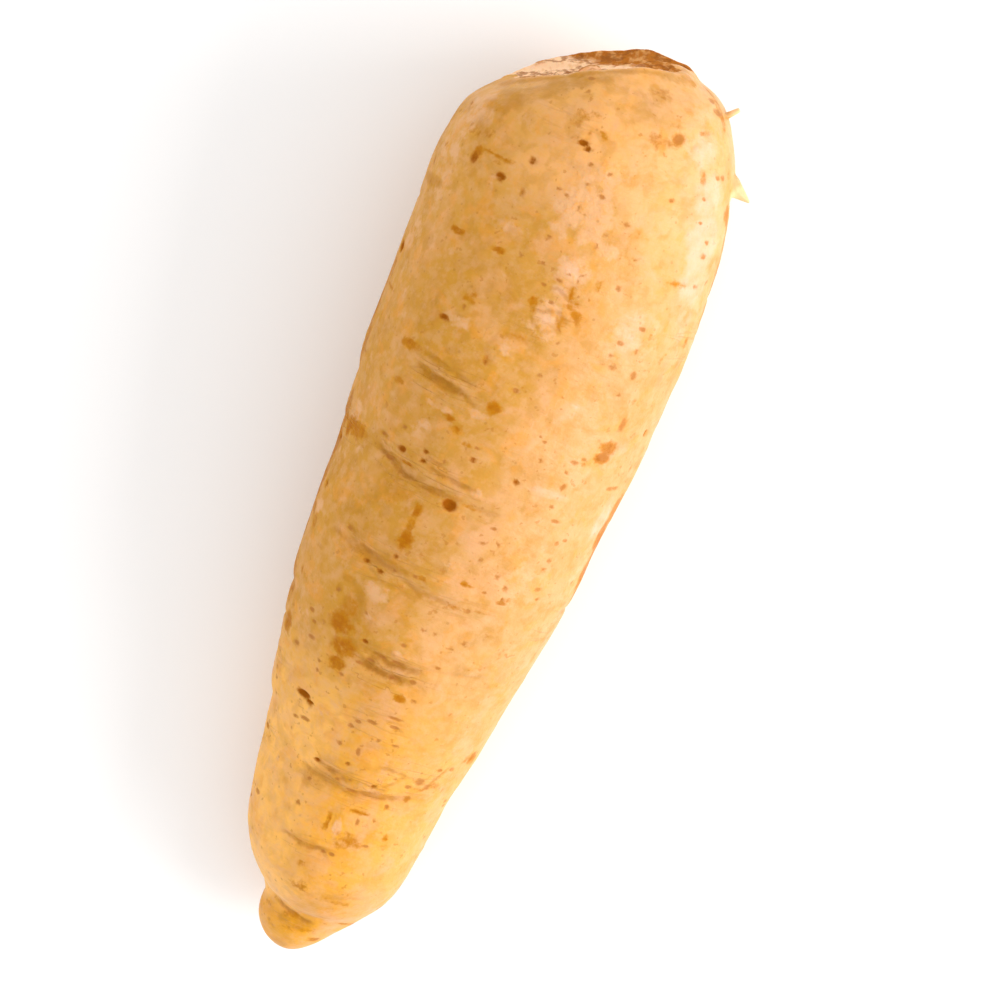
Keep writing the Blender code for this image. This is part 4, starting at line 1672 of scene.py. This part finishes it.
@dataclass
class RootForm:
    """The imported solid, read as a centre line with the skin round it.

    Args:
        node: The CAD node.
        slice: The distance between the centre line's points, in metres.
    """

    node: bpy.types.Object
    slice: float = 0.002

    def __post_init__(self) -> None:
        """Finds the middle of each cross section."""
        points = np.array([vert.co for vert in self.node.data.vertices])
        self.low, self.high = points.min(axis=0), points.max(axis=0)
        self.stations = np.arange(self.low[1] + self.slice, self.high[1], self.slice)
        centres = []
        for station in self.stations:
            ring = points[np.abs(points[:, 1] - station) < 1.5 * self.slice]
            centres.append((ring.min(axis=0) + ring.max(axis=0)) / 2)
        self.centres = np.array(centres)[:, (0, 2)]

    def unrolled(self, points: np.ndarray) -> tuple[np.ndarray, np.ndarray, np.ndarray]:
        """Places on the skin.

        Args:
            points: In metres, one a row.

        Returns:
            Along (mm), angle (degrees) and distance from the centre line (mm) of each.
        """
        right = points[:, 0] - np.interp(points[:, 1], self.stations, self.centres[:, 0])
        up = points[:, 2] - np.interp(points[:, 1], self.stations, self.centres[:, 1])
        along = (self.high[1] - points[:, 1]) / MM
        return along, np.degrees(np.arctan2(right, up)), np.hypot(right, up) / MM


@dataclass(frozen=True)
class Scar:
    """The torn face at the crown, as a plane with a length and a height direction.

    Args:
        centre: Its middle, in metres.
        turn: How far it faces to the side, in degrees.
        tilt: How far it faces upwards, in degrees.
        half_length: In millimetres.
        half_height: In millimetres.
        behind: How far behind the plane skin is still near it, in millimetres.
        last_along: How far along the root skin is still near it, in millimetres.
        edge: Where the skin ends, as a share of the way from the middle to the rim.
        edge_width: How soft that end is, as such a share.
        lower_reach: How much further the torn colour goes at the lower rim.
        sunk: How far the face is sunk, in millimetres.
        rim_height: Of the swollen skin round it, in millimetres.
        rim_width: Of that, as such a share.
        shade_place: Where the painted olive shade above it is darkest, as such a share.
        shade_width: Of that, as such a share.
        shade_ragged: How much of the edge's waves the shade follows.
        lower_fade: How far below the middle the lower reach is full, in millimetres.
        upper_fade: How far above the middle the painted olive shade is full, in millimetres.
        ragged: The large and the small waves of its edge, as such shares.
        fibres: The fine and the broad relief of the face.
    """

    centre: Triple = (-0.0064, 0.0853, 0.0280)
    turn: float = 33.0
    tilt: float = 6.0
    half_length: float = 15.8
    half_height: float = 11.2
    behind: float = 6.0
    last_along: float = 30.0
    edge: float = 0.97
    edge_width: float = 0.10
    lower_reach: float = 0.2
    sunk: float = 0.2
    rim_height: float = 0.25
    rim_width: float = 0.06
    shade_place: float = 1.10
    shade_width: float = 0.08
    shade_ragged: float = 0.5
    lower_fade: float = 4.0
    upper_fade: float = 6.0
    ragged: tuple[Waves, ...] = (Waves(3.0, 0.12, 2.0), Waves(0.9, 0.05, 8.0))
    fibres: tuple[Waves, ...] = (
        Waves(0.8, 0.22, 4.0, (1.0, 1.0, 3.0)),
        Waves(2.6, 0.4, 6.0, (2.4, 2.4, 1.0)),
    )

    @property
    def axes(self) -> tuple[Vector, Vector, Vector]:
        """Its outward, lengthwise and upward directions.

        Returns:
            The three directions.
        """
        turn, tilt = math.radians(self.turn), math.radians(self.tilt)
        outward = Vector(
            (-math.sin(turn) * math.cos(tilt), math.cos(turn) * math.cos(tilt), math.sin(tilt))
        )
        lengthwise = Vector((math.cos(turn), math.sin(turn), 0.0))
        return outward, lengthwise, lengthwise.cross(outward)

    def coordinates(self, points: np.ndarray) -> np.ndarray:
        """Points measured from the scar.

        Args:
            points: In metres, one a row.

        Returns:
            Lengthwise, upward and outward distances in millimetres, one row a point.
        """
        outward, lengthwise, upward = (np.array(axis) for axis in self.axes)
        offset = (points - np.array(self.centre)) / MM
        return np.stack([offset @ lengthwise, offset @ upward, offset @ outward], axis=1)

    def point(self, lengthwise: float, upward: float, outward: float) -> Vector:
        """A point given from the scar's middle.

        Args:
            lengthwise: In millimetres, as the next two.
            upward: The distance to the upper rim's side.
            outward: The distance in front of the face.

        Returns:
            The point, in metres.
        """
        out, long, high = self.axes
        offset = long * lengthwise + high * upward + out * outward
        return Vector(self.centre) + offset * MM


@dataclass
class SkinMesh:
    """The root's visible surface: the solid's own mesh, refined, with relief and masks.

    Args:
        form: The root's centre line.
        scar: The torn face.
        finish: The material.
        ring_lines: The grooves on the sides out of sight.
        levels: How often each face is divided in four.
        refine_reach: How far round pits and dots it is divided once more, in half sizes.
        flat_angle: Triangles that bend less than this are joined, in degrees.
        square_angle: So are those whose corners are less than this from square.
        mark_end: Where a mark's relief ends, in half sizes.
        mark_fade: Where its colour ends, in half sizes.
        strongest: The highest value of a layer.
        hollow_width: Of a mark's hollow, in half sizes.
        rim_place: Where a mark's rim is highest, in half sizes.
        rim_width: Of that, in half sizes.
        line_margin: How far round a line its groove may reach, in millimetres.
        line_waver: How far a line wanders.
        line_half_width: The groove's half width, as a share of the line's width.
        line_taper: How soon a line reaches its full depth: a higher number is sooner.
        waves: The soft and the fine swellings everywhere.
        cross: The fine wrinkles that run round the root.
        cross_share: How much of them stands everywhere.
        rubbed: The relief of rubbed places.
        rest_height: Below this height there is less relief, in millimetres.
        rest_share: How much relief is left where the root touches the table.
        rootlet_rise: Where on a rootlet its paler skin begins, in millimetres.
        rootlet_fade: Over what length it begins, in millimetres.
        rootlet_end: How far past the tip it goes, in millimetres.
        layers: The values of each layer, one a vertex.
    """

    form: RootForm
    scar: Scar
    finish: SkinFinish = SkinFinish()
    ring_lines: RingLines = RingLines()
    levels: int = 2
    refine_reach: float = 1.8
    flat_angle: float = 25.0
    square_angle: float = 50.0
    mark_end: float = 2.2
    mark_fade: float = 1.5
    strongest: float = 1.3
    hollow_width: float = 0.8
    rim_place: float = 1.4
    rim_width: float = 0.4
    line_margin: float = 4.0
    line_waver: Waves = Waves(2.5, 0.3, 11.0)
    line_half_width: float = 0.75
    line_taper: float = 5.0
    waves: tuple[Waves, ...] = (Waves(5.0, 0.12, 3.0), Waves(1.6, 0.03, 5.0))
    cross: Waves = Waves(1.5, 0.10, 7.0, (5.0, 1.0, 5.0))
    cross_share: float = 0.2
    rubbed: Waves = Waves(1.0, 0.05, 9.0)
    rest_height: float = 0.8
    rest_share: float = 0.1
    rootlet_rise: float = 0.2
    rootlet_fade: float = 0.9
    rootlet_end: float = 0.6
    layers: dict[Layer, np.ndarray] = field(default_factory=dict)

    def build(self) -> bpy.types.Object:
        """Makes the piece from the CAD node's mesh, which stays as it is.

        Returns:
            The piece, with its material.
        """
        skin = self.smooth_copy()
        mesh = skin.data
        self.refine(mesh)
        self.read(mesh)
        self.add_marks()
        self.add_lines()
        self.add_wrinkles()
        self.add_scar()
        self.add_rootlets()
        self.write(mesh)
        mesh.materials.append(self.finish.build())
        return skin

    def smooth_copy(self) -> bpy.types.Object:
        """A merged copy of the node in quads, smoothed by a subdivision surface.

        Returns:
            The copy, as a new object.
        """
        shape = bmesh.new()
        shape.from_mesh(self.form.node.data)
        bmesh.ops.remove_doubles(shape, verts=shape.verts, dist=1e-6)
        bmesh.ops.join_triangles(
            shape,
            faces=shape.faces,
            angle_face_threshold=math.radians(self.flat_angle),
            angle_shape_threshold=math.radians(self.square_angle),
        )
        mesh = bpy.data.meshes.new("root_skin")
        shape.to_mesh(mesh)
        shape.free()
        coarse = bpy.data.objects.new("root_coarse", mesh)
        bpy.context.scene.collection.objects.link(coarse)
        smoothing = coarse.modifiers.new("smoothing", "SUBSURF")
        smoothing.levels = self.levels
        smoothing.render_levels = self.levels
        bpy.context.view_layer.update()
        evaluated = coarse.evaluated_get(bpy.context.evaluated_depsgraph_get())
        fine = bpy.data.meshes.new_from_object(evaluated)
        fine.name = "root_skin"
        bpy.data.objects.remove(coarse)
        fine.materials.clear()
        skin = bpy.data.objects.new("root_skin", fine)
        bpy.context.scene.collection.objects.link(skin)
        return skin

    def refine(self, mesh: bpy.types.Mesh) -> None:
        """Halves the faces round each pit and dot, so that its edge is crisp.

        Args:
            mesh: The skin.
        """
        shape = bmesh.new()
        shape.from_mesh(mesh)
        shape.verts.ensure_lookup_table()
        points = np.array([vert.co for vert in shape.verts])
        unrolled = self.form.unrolled(points)
        near = np.zeros(len(points), bool)
        for mark in (*PITS, *DOTS):
            near |= self.spread(mark, *unrolled) < self.refine_reach
        edges = [edge for edge in shape.edges if all(near[vert.index] for vert in edge.verts)]
        bmesh.ops.subdivide_edges(shape, edges=edges, cuts=1, use_grid_fill=True)
        shape.to_mesh(mesh)
        shape.free()

    def read(self, mesh: bpy.types.Mesh) -> None:
        """Reads the refined mesh, and starts the relief and the layers.

        Args:
            mesh: The skin.
        """
        count = len(mesh.vertices)
        points = np.empty(count * 3)
        mesh.vertices.foreach_get("co", points)
        self.points = points.reshape(-1, 3)
        normals = np.empty(count * 3, np.float32)
        mesh.vertex_normals.foreach_get("vector", normals)
        self.normals = normals.reshape(-1, 3).astype(float)
        self.along, self.angle, self.radius = self.form.unrolled(self.points)
        self.lift = np.zeros(count)
        self.layers = {layer: np.zeros(count) for layer in Layer}
        self.layers[Layer.SIDE] = np.sin(np.radians(self.angle))
        self.layers[Layer.FOLD_SIDE] += FAR
        self.layers[Layer.LIP_SIDE] += FAR

    @staticmethod
    def spread(mark: Mark, along: np.ndarray, angle: np.ndarray, radius: np.ndarray) -> np.ndarray:
        """Distance from a mark's middle, as a share of its half size in each direction.

        Args:
            mark: The mark.
            along: Of each point, in millimetres.
            angle: Of each point, in degrees.
            radius: Distance of each point from the centre line, in millimetres.

        Returns:
            The distance of each point.
        """
        turn = (angle - mark.angle + FULL_TURN / 2) % FULL_TURN - FULL_TURN / 2
        slant = math.cos(math.radians(mark.angle)) if abs(mark.angle) < VISIBLE_ANGLE else 1.0
        round_way = np.radians(turn) * radius * slant / (mark.wide / 2)
        long_way = (along - mark.along) / (mark.long / 2)
        return np.hypot(round_way, long_way)

    def add_mark(self, mark: Mark, style: MarkStyle) -> None:
        """Presses a mark in the skin and writes its layer.

        Args:
            mark: The mark.
            style: Its kind.
        """
        spread = self.spread(mark, self.along, self.angle, self.radius)
        near = spread < self.mark_end
        reach = spread[near]
        shown = smoothstep(self.mark_fade - reach) * min(self.strongest, mark.strength)
        layer = self.layers[style.layer]
        layer[near] = np.maximum(layer[near], shown)
        hollow = ridge(reach, self.hollow_width) * style.depth
        rim = ridge(reach - self.rim_place, self.rim_width) * style.rim
        self.lift[near] += (rim - hollow) * mark.strength

    def add_marks(self) -> None:
        """All marks: the listed ones on the upper side, and others drawn elsewhere."""
        draw = random.Random(SEED)
        listed = (
            (PITS, PIT),
            (DOTS, DOT),
            (STAINS, STAIN),
            (RUSTS, RUST),
            (SCUFFS, SCUFF),
            (PAINTED_HIGHLIGHTS, PAINTED_HIGHLIGHT),
            (PAINTED_SHADE_DENTS, PAINTED_SHADE_DENT),
            (PAINTED_EDGE_SHADES, PAINTED_EDGE_SHADE),
            (PAINTED_SHADES, PAINTED_SHADE),
            (WRINKLES, WRINKLE),
        )
        for marks, style in listed:
            for mark in marks:
                self.add_mark(mark, style)
            for _ in range(round(len(marks) * style.hidden_share)):
                model = draw.choice(marks)
                angle = draw.uniform(VISIBLE_ANGLE, FULL_TURN - VISIBLE_ANGLE)
                along = draw.uniform(*HIDDEN_ALONG)
                self.add_mark(replace(model, along=along, angle=angle), style)

    def add_line(self, line: Line) -> None:
        """Presses one line in the skin and writes its layers.

        Args:
            line: The line.
        """
        alongs = np.array([place[0] for place in line.places])
        angles = np.array([place[1] for place in line.places])
        middle = float(angles.mean())
        reach = np.ptp(alongs) / 2 + self.line_margin
        near = np.abs(self.along - alongs.mean()) < reach
        radius = float(np.median(self.radius[near]))
        turn = (self.angle - middle + FULL_TURN / 2) % FULL_TURN - FULL_TURN / 2
        aside = np.radians(turn) * radius
        corners = np.stack([alongs, np.radians(angles - middle) * radius], axis=1)
        near &= np.abs(aside) < np.abs(corners[:, 1]).max() + self.line_margin
        places = np.stack([self.along[near], aside[near]], axis=1)
        places[:, 0] += self.line_waver.at(self.points[near] / MM)
        distance, share = distance_to_path(places, corners)
        side = distance / (line.width * self.line_half_width)
        taper = smoothstep(self.line_taper * share * (1.0 - share))
        self.lift[near] -= ridge(side, 1.0) * taper * line.depth
        names = (Layer.FOLD, Layer.FOLD_SIDE) if line.depth > 0 else (Layer.LIP, Layer.LIP_SIDE)
        strengths, sides = (self.layers[name] for name in names)
        indices = np.flatnonzero(near)
        closer = np.abs(side) < np.abs(sides[indices])
        sides[indices[closer]] = side[closer]
        strengths[indices[closer]] = (taper * line.strength)[closer]

    def add_lines(self) -> None:
        """All lines: the listed ones, and others on the growth rings of the hidden sides."""
        for line in LINES:
            self.add_line(line)
        draw = random.Random(SEED + 1)
        rings = self.ring_lines
        last = FULL_TURN - rings.margin - VISIBLE_ANGLE
        for ring in GROWTH_RINGS:
            for _ in range(rings.count):
                start = draw.uniform(VISIBLE_ANGLE, last)
                step = draw.uniform(*rings.span) / (rings.points - 1)
                along = ring + draw.gauss(0.0, rings.scatter)
                places = tuple(
                    (along + draw.uniform(-rings.waver, rings.waver), start + step * part)
                    for part in range(rings.points)
                )
                depth = draw.uniform(*rings.depth)
                width = draw.uniform(*rings.width)
                self.add_line(Line(places, width, depth, rings.shown * depth))

    def add_wrinkles(self) -> None:
        """Soft swellings of the skin, and fine wrinkles that run round the root."""
        points = self.points / MM
        for waves in self.waves:
            self.lift += waves.at(points)
        self.lift += self.cross.at(points) * (self.cross_share + self.layers[Layer.WRINKLE])
        self.lift += self.rubbed.at(points) * self.layers[Layer.SCUFF]

    def add_scar(self) -> None:
        """The torn face: fibrous hollows inside a ragged edge of skin."""
        scar = self.scar
        lengthwise, upward, outward = scar.coordinates(self.points).T
        near = (outward > -scar.behind) & (self.along < scar.last_along)
        height = upward[near] / scar.half_height
        length = lengthwise[near] / scar.half_length
        share = np.hypot(length, height)
        points = self.points[near] / MM
        ragged = sum(waves.at(points) for waves in scar.ragged)
        fibres = sum(waves.at(points) for waves in scar.fibres)
        inside = smoothstep((scar.edge - share - ragged) / scar.edge_width)
        rim = ridge(share + ragged - 1.0, scar.rim_width) * scar.rim_height
        self.lift[near] += inside * (fibres - scar.sunk) + rim
        below = smoothstep(-upward[near] / scar.lower_fade)
        edge = scar.edge + scar.lower_reach * below
        self.layers[Layer.SCAR][near] = smoothstep((edge - share - ragged) / scar.edge_width)
        self.layers[Layer.SCAR_HEIGHT][near] = height
        self.layers[Layer.SCAR_LENGTH][near] = length
        # A band of painted shade just outside the scar's upper rim.
        above = smoothstep(upward[near] / scar.upper_fade)
        place = share + scar.shade_ragged * ragged - scar.shade_place
        shade = ridge(place, scar.shade_width) * above
        olive = self.layers[Layer.PAINTED_SHADE]
        olive[near] = np.maximum(olive[near], shade)

    def add_rootlets(self) -> None:
        """The paler, smooth skin of the two rootlets that stand out beside the crown."""
        for rootlet in ROOTLETS:
            axis = np.array(rootlet.tip) - np.array(rootlet.foot)
            length = float(np.linalg.norm(axis))
            offset = self.points / MM - np.array(rootlet.foot)
            reach = offset @ axis / length
            aside = np.linalg.norm(offset - np.outer(reach, axis / length), axis=1)
            shown = smoothstep((reach - self.rootlet_rise) / self.rootlet_fade)
            shown *= (aside < rootlet.radius) & (reach < length + self.rootlet_end)
            self.layers[Layer.ROOTLET] = np.maximum(self.layers[Layer.ROOTLET], shown)
            self.lift *= 1.0 - shown

    def write(self, mesh: bpy.types.Mesh) -> None:
        """Moves the vertices and stores the layers as attributes.

        Args:
            mesh: The skin.
        """
        moved = self.points + self.normals * (self.lift * self.resting())[:, None] * MM
        moved[:, 2] = np.maximum(moved[:, 2], 0.0)
        mesh.vertices.foreach_set("co", moved.ravel())
        for layer, values in self.layers.items():
            attribute = mesh.attributes.new(layer.value, "FLOAT", "POINT")
            attribute.data.foreach_set("value", values.astype(np.float32))
        mesh.update()
        mesh.shade_smooth()

    def resting(self) -> np.ndarray:
        """The share of the relief kept: little where the root touches the table."""
        free = smoothstep(self.points[:, 2] / (self.rest_height * MM))
        return free * (1.0 - self.rest_share) + self.rest_share


@dataclass
class TornSkin:
    """Thin ragged flakes at the rim of the scar, each a closed strip.

    Args:
        scar: The torn face.
        flakes: Their measures.
        finish: The material.
        thickness: At the root, in millimetres.
        thinning: The share of it that is lost at the free edge.
        step: The length of a face, in millimetres.
        least_columns: The fewest faces on a flake's length.
        rows: How many faces there are from the root to the free edge.
        root: How far a flake is rooted in the face, in millimetres.
        rim: Where it is rooted, as a share of the scar's half height.
        bluntness: The power that shapes its ends: 0 would be square.
        ragged: Waves a millimetre, height and shift of the free edge's long and short waves.
        curl: Waves a millimetre, waves from root to edge, and height of its own waves.
        variety: How far apart the flakes' noise is.
    """

    scar: Scar
    flakes: tuple[Flake, ...] = FLAKES
    finish: TornSkinFinish = TornSkinFinish()
    thickness: float = 0.34
    thinning: float = 0.55
    step: float = 0.28
    least_columns: int = 6
    rows: int = 9
    root: float = 0.9
    rim: float = 0.98
    bluntness: float = 0.3
    ragged: tuple[Triple, ...] = ((0.35, 0.16, 0.0), (1.7, 0.05, 5.0))
    curl: Triple = (0.4, 1.2, 0.5)
    variety: float = 3.7

    def build(self) -> bpy.types.Object:
        """Makes the piece.

        Returns:
            The piece, with its material.
        """
        shape = bmesh.new()
        edge = shape.verts.layers.float.new("edge")
        for index, flake in enumerate(self.flakes):
            self.add_flake(shape, edge, flake, self.variety * index)
        bmesh.ops.recalc_face_normals(shape, faces=shape.faces)
        mesh = bpy.data.meshes.new("torn_skin")
        shape.to_mesh(mesh)
        shape.free()
        mesh.shade_smooth()
        mesh.materials.append(self.finish.build())
        piece = bpy.data.objects.new("torn_skin", mesh)
        bpy.context.scene.collection.objects.link(piece)
        return piece

    def add_flake(
        self, shape: bmesh.types.BMesh, edge: bmesh.types.BMLayerItem, flake: Flake, shift: float
    ) -> None:
        """Adds one flake: a grid, extruded to a sheet and bent to its shape.

        Args:
            shape: The mesh it is added to.
            edge: The layer that says how near a vertex is to the free edge.
            flake: Its measures.
            shift: A different number gives another ragged edge.
        """
        columns = max(self.least_columns, round((flake.end - flake.start) / self.step))
        before = len(shape.faces)
        grid = bmesh.ops.create_grid(shape, x_segments=columns, y_segments=self.rows, size=0.5)
        shape.faces.ensure_lookup_table()
        sheet = bmesh.ops.extrude_face_region(
            shape, geom=shape.faces[before:], use_keep_orig=True
        )
        under = [item for item in sheet["geom"] if isinstance(item, bmesh.types.BMVert)]
        for verts, thickness in ((grid["verts"], 0.0), (under, self.thickness)):
            for vert in verts:
                across, outward = vert.co.x + 0.5, vert.co.y + 0.5
                vert[edge] = outward
                vert.co = self.place(flake, across, outward, thickness, shift)

    def place(
        self, flake: Flake, across: float, outward: float, thickness: float, shift: float
    ) -> Vector:
        """One point of a flake.

        Args:
            flake: Its measures.
            across: The share of its length.
            outward: The share of its reach.
            thickness: The depth in the sheet at the root, in millimetres.
            shift: A different number gives another ragged edge.

        Returns:
            The point, in metres.
        """
        lengthwise = flake.start + (flake.end - flake.start) * across
        ragged = 1.0
        for rate, height, second in self.ragged:
            ragged += noise.noise(Vector((lengthwise * rate, shift, second))) * height
        ends = max(0.0, math.sin(math.pi * across)) ** self.bluntness
        out = -self.root + (self.root + flake.reach * ends * ragged) * outward
        share = min(1.0, abs(lengthwise) / self.scar.half_length)
        rim = self.scar.half_height * math.sqrt(1.0 - share * share) * self.rim
        rate, waves, height = self.curl
        wave = noise.noise(Vector((lengthwise * rate, outward * waves, shift))) * height * outward
        upward = rim - flake.drop + flake.rise * outward**2 + wave
        upward -= thickness * (1.0 - self.thinning * outward)
        return self.scar.point(lengthwise, upward, out)


@dataclass(frozen=True)
class Studio:
    """A pale table, soft light from the picture's right, and the camera above.

    Args:
        lean: How far the camera leans from straight above towards the crown, in degrees.
        roll: How far the crown is turned to the picture's right, in degrees.
        distance: From the camera to the root's middle, in metres.
        lens: Focal length in millimetres.
        sensor: The width of the camera's sensor, in millimetres.
        shift: Of the picture, as a share of its width.
        table: Half the width of the table, in metres.
        table_colour: Its colour.
        key_side: Where the key light stands, as a direction on the table.
        key_height: Of the key light, as a share of its distance to the side.
        key_distance: Of the key light from the root, in metres.
        key_size: The width of the key light, in metres.
        key_power: In watts.
        fill: Strength of the even light from all round.
    """

    lean: float = 10.0
    roll: float = 22.03
    distance: float = 0.605
    lens: float = 120.0
    sensor: float = 36.0
    shift: Place = (0.047, 0.0205)
    table: float = 3.0
    table_colour: tuple[float, float, float, float] = (0.97, 0.97, 0.97, 1.0)
    key_side: Place = (1.0, 0.12)
    key_height: float = 0.42
    key_distance: float = 0.9
    key_size: float = 0.7
    key_power: float = 8.0
    fill: float = 1.0

    def build(self, centre: Vector) -> None:
        """Adds floor, lights and camera.

        Args:
            centre: The root's middle.
        """
        self.add_floor()
        self.add_camera(centre)
        self.add_key(centre)
        self.add_world()

    def add_floor(self) -> None:
        """A wide pale table top."""
        shape = bmesh.new()
        bmesh.ops.create_grid(shape, x_segments=1, y_segments=1, size=self.table)
        mesh = bpy.data.meshes.new("floor")
        shape.to_mesh(mesh)
        shape.free()
        floor = bpy.data.objects.new("floor", mesh)
        bpy.context.scene.collection.objects.link(floor)
        shader = Shader("floor")
        shader.set(Base_Color=self.table_colour, Roughness=0.9, Specular_IOR_Level=0.1)
        mesh.materials.append(shader.material)

    def add_camera(self, centre: Vector) -> None:
        """The camera.

        Args:
            centre: What it looks at.
        """
        camera = bpy.data.objects.new("camera", bpy.data.cameras.new("camera"))
        bpy.context.scene.collection.objects.link(camera)
        camera.data.lens = self.lens
        camera.data.sensor_width = self.sensor
        camera.data.shift_x, camera.data.shift_y = self.shift
        lean = math.radians(self.lean)
        back = Vector((0.0, math.sin(lean), math.cos(lean)))
        across = Vector((1.0, 0.0, 0.0))
        upright = Matrix((across, back.cross(across), back)).transposed()
        facing = Matrix.Rotation(math.radians(self.roll), 3, back) @ upright
        camera.matrix_world = Matrix.Translation(centre + back * self.distance) @ facing.to_4x4()
        bpy.context.scene.camera = camera

    def add_key(self, centre: Vector) -> None:
        """The large soft light on the picture's right.

        Args:
            centre: What it shines on.
        """
        light = bpy.data.lights.new("key", "AREA")
        light.size = self.key_size
        light.energy = self.key_power
        lamp = bpy.data.objects.new("key", light)
        bpy.context.scene.collection.objects.link(lamp)
        towards = Vector((*self.key_side, self.key_height)).normalized()
        facing = towards.to_track_quat("Z", "Y").to_matrix().to_4x4()
        lamp.matrix_world = Matrix.Translation(centre + towards * self.key_distance) @ facing

    def add_world(self) -> None:
        """Even white light from all round."""
        world = bpy.data.worlds.new("studio")
        world.use_nodes = True
        background = world.node_tree.nodes["Background"]
        background.inputs["Color"].default_value = (1.0, 1.0, 1.0, 1.0)
        background.inputs["Strength"].default_value = self.fill
        bpy.context.scene.world = world
        bpy.context.scene.view_settings.view_transform = "Standard"


def triangles(piece: bpy.types.Object) -> int:
    """How many triangles a piece has."""
    piece.data.calc_loop_triangles()
    return len(piece.data.loop_triangles)


def main() -> None:
    """Builds the root, the table, the light and the camera."""
    logging.basicConfig(level=logging.INFO, format="%(message)s")
    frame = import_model()
    scar = Scar()
    skin = SkinMesh(RootForm(frame["nodes"][NODE]), scar).build()
    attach(skin, BODY)
    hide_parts(NODE)
    log.info("root_skin: %d triangles", triangles(skin))
    flakes = TornSkin(scar).build()
    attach(flakes, BODY)
    log.info("torn_skin: %d triangles", triangles(flakes))
    low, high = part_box(NODE)
    Studio().build((low + high) / 2)


if __name__ == "__main__":
    main()
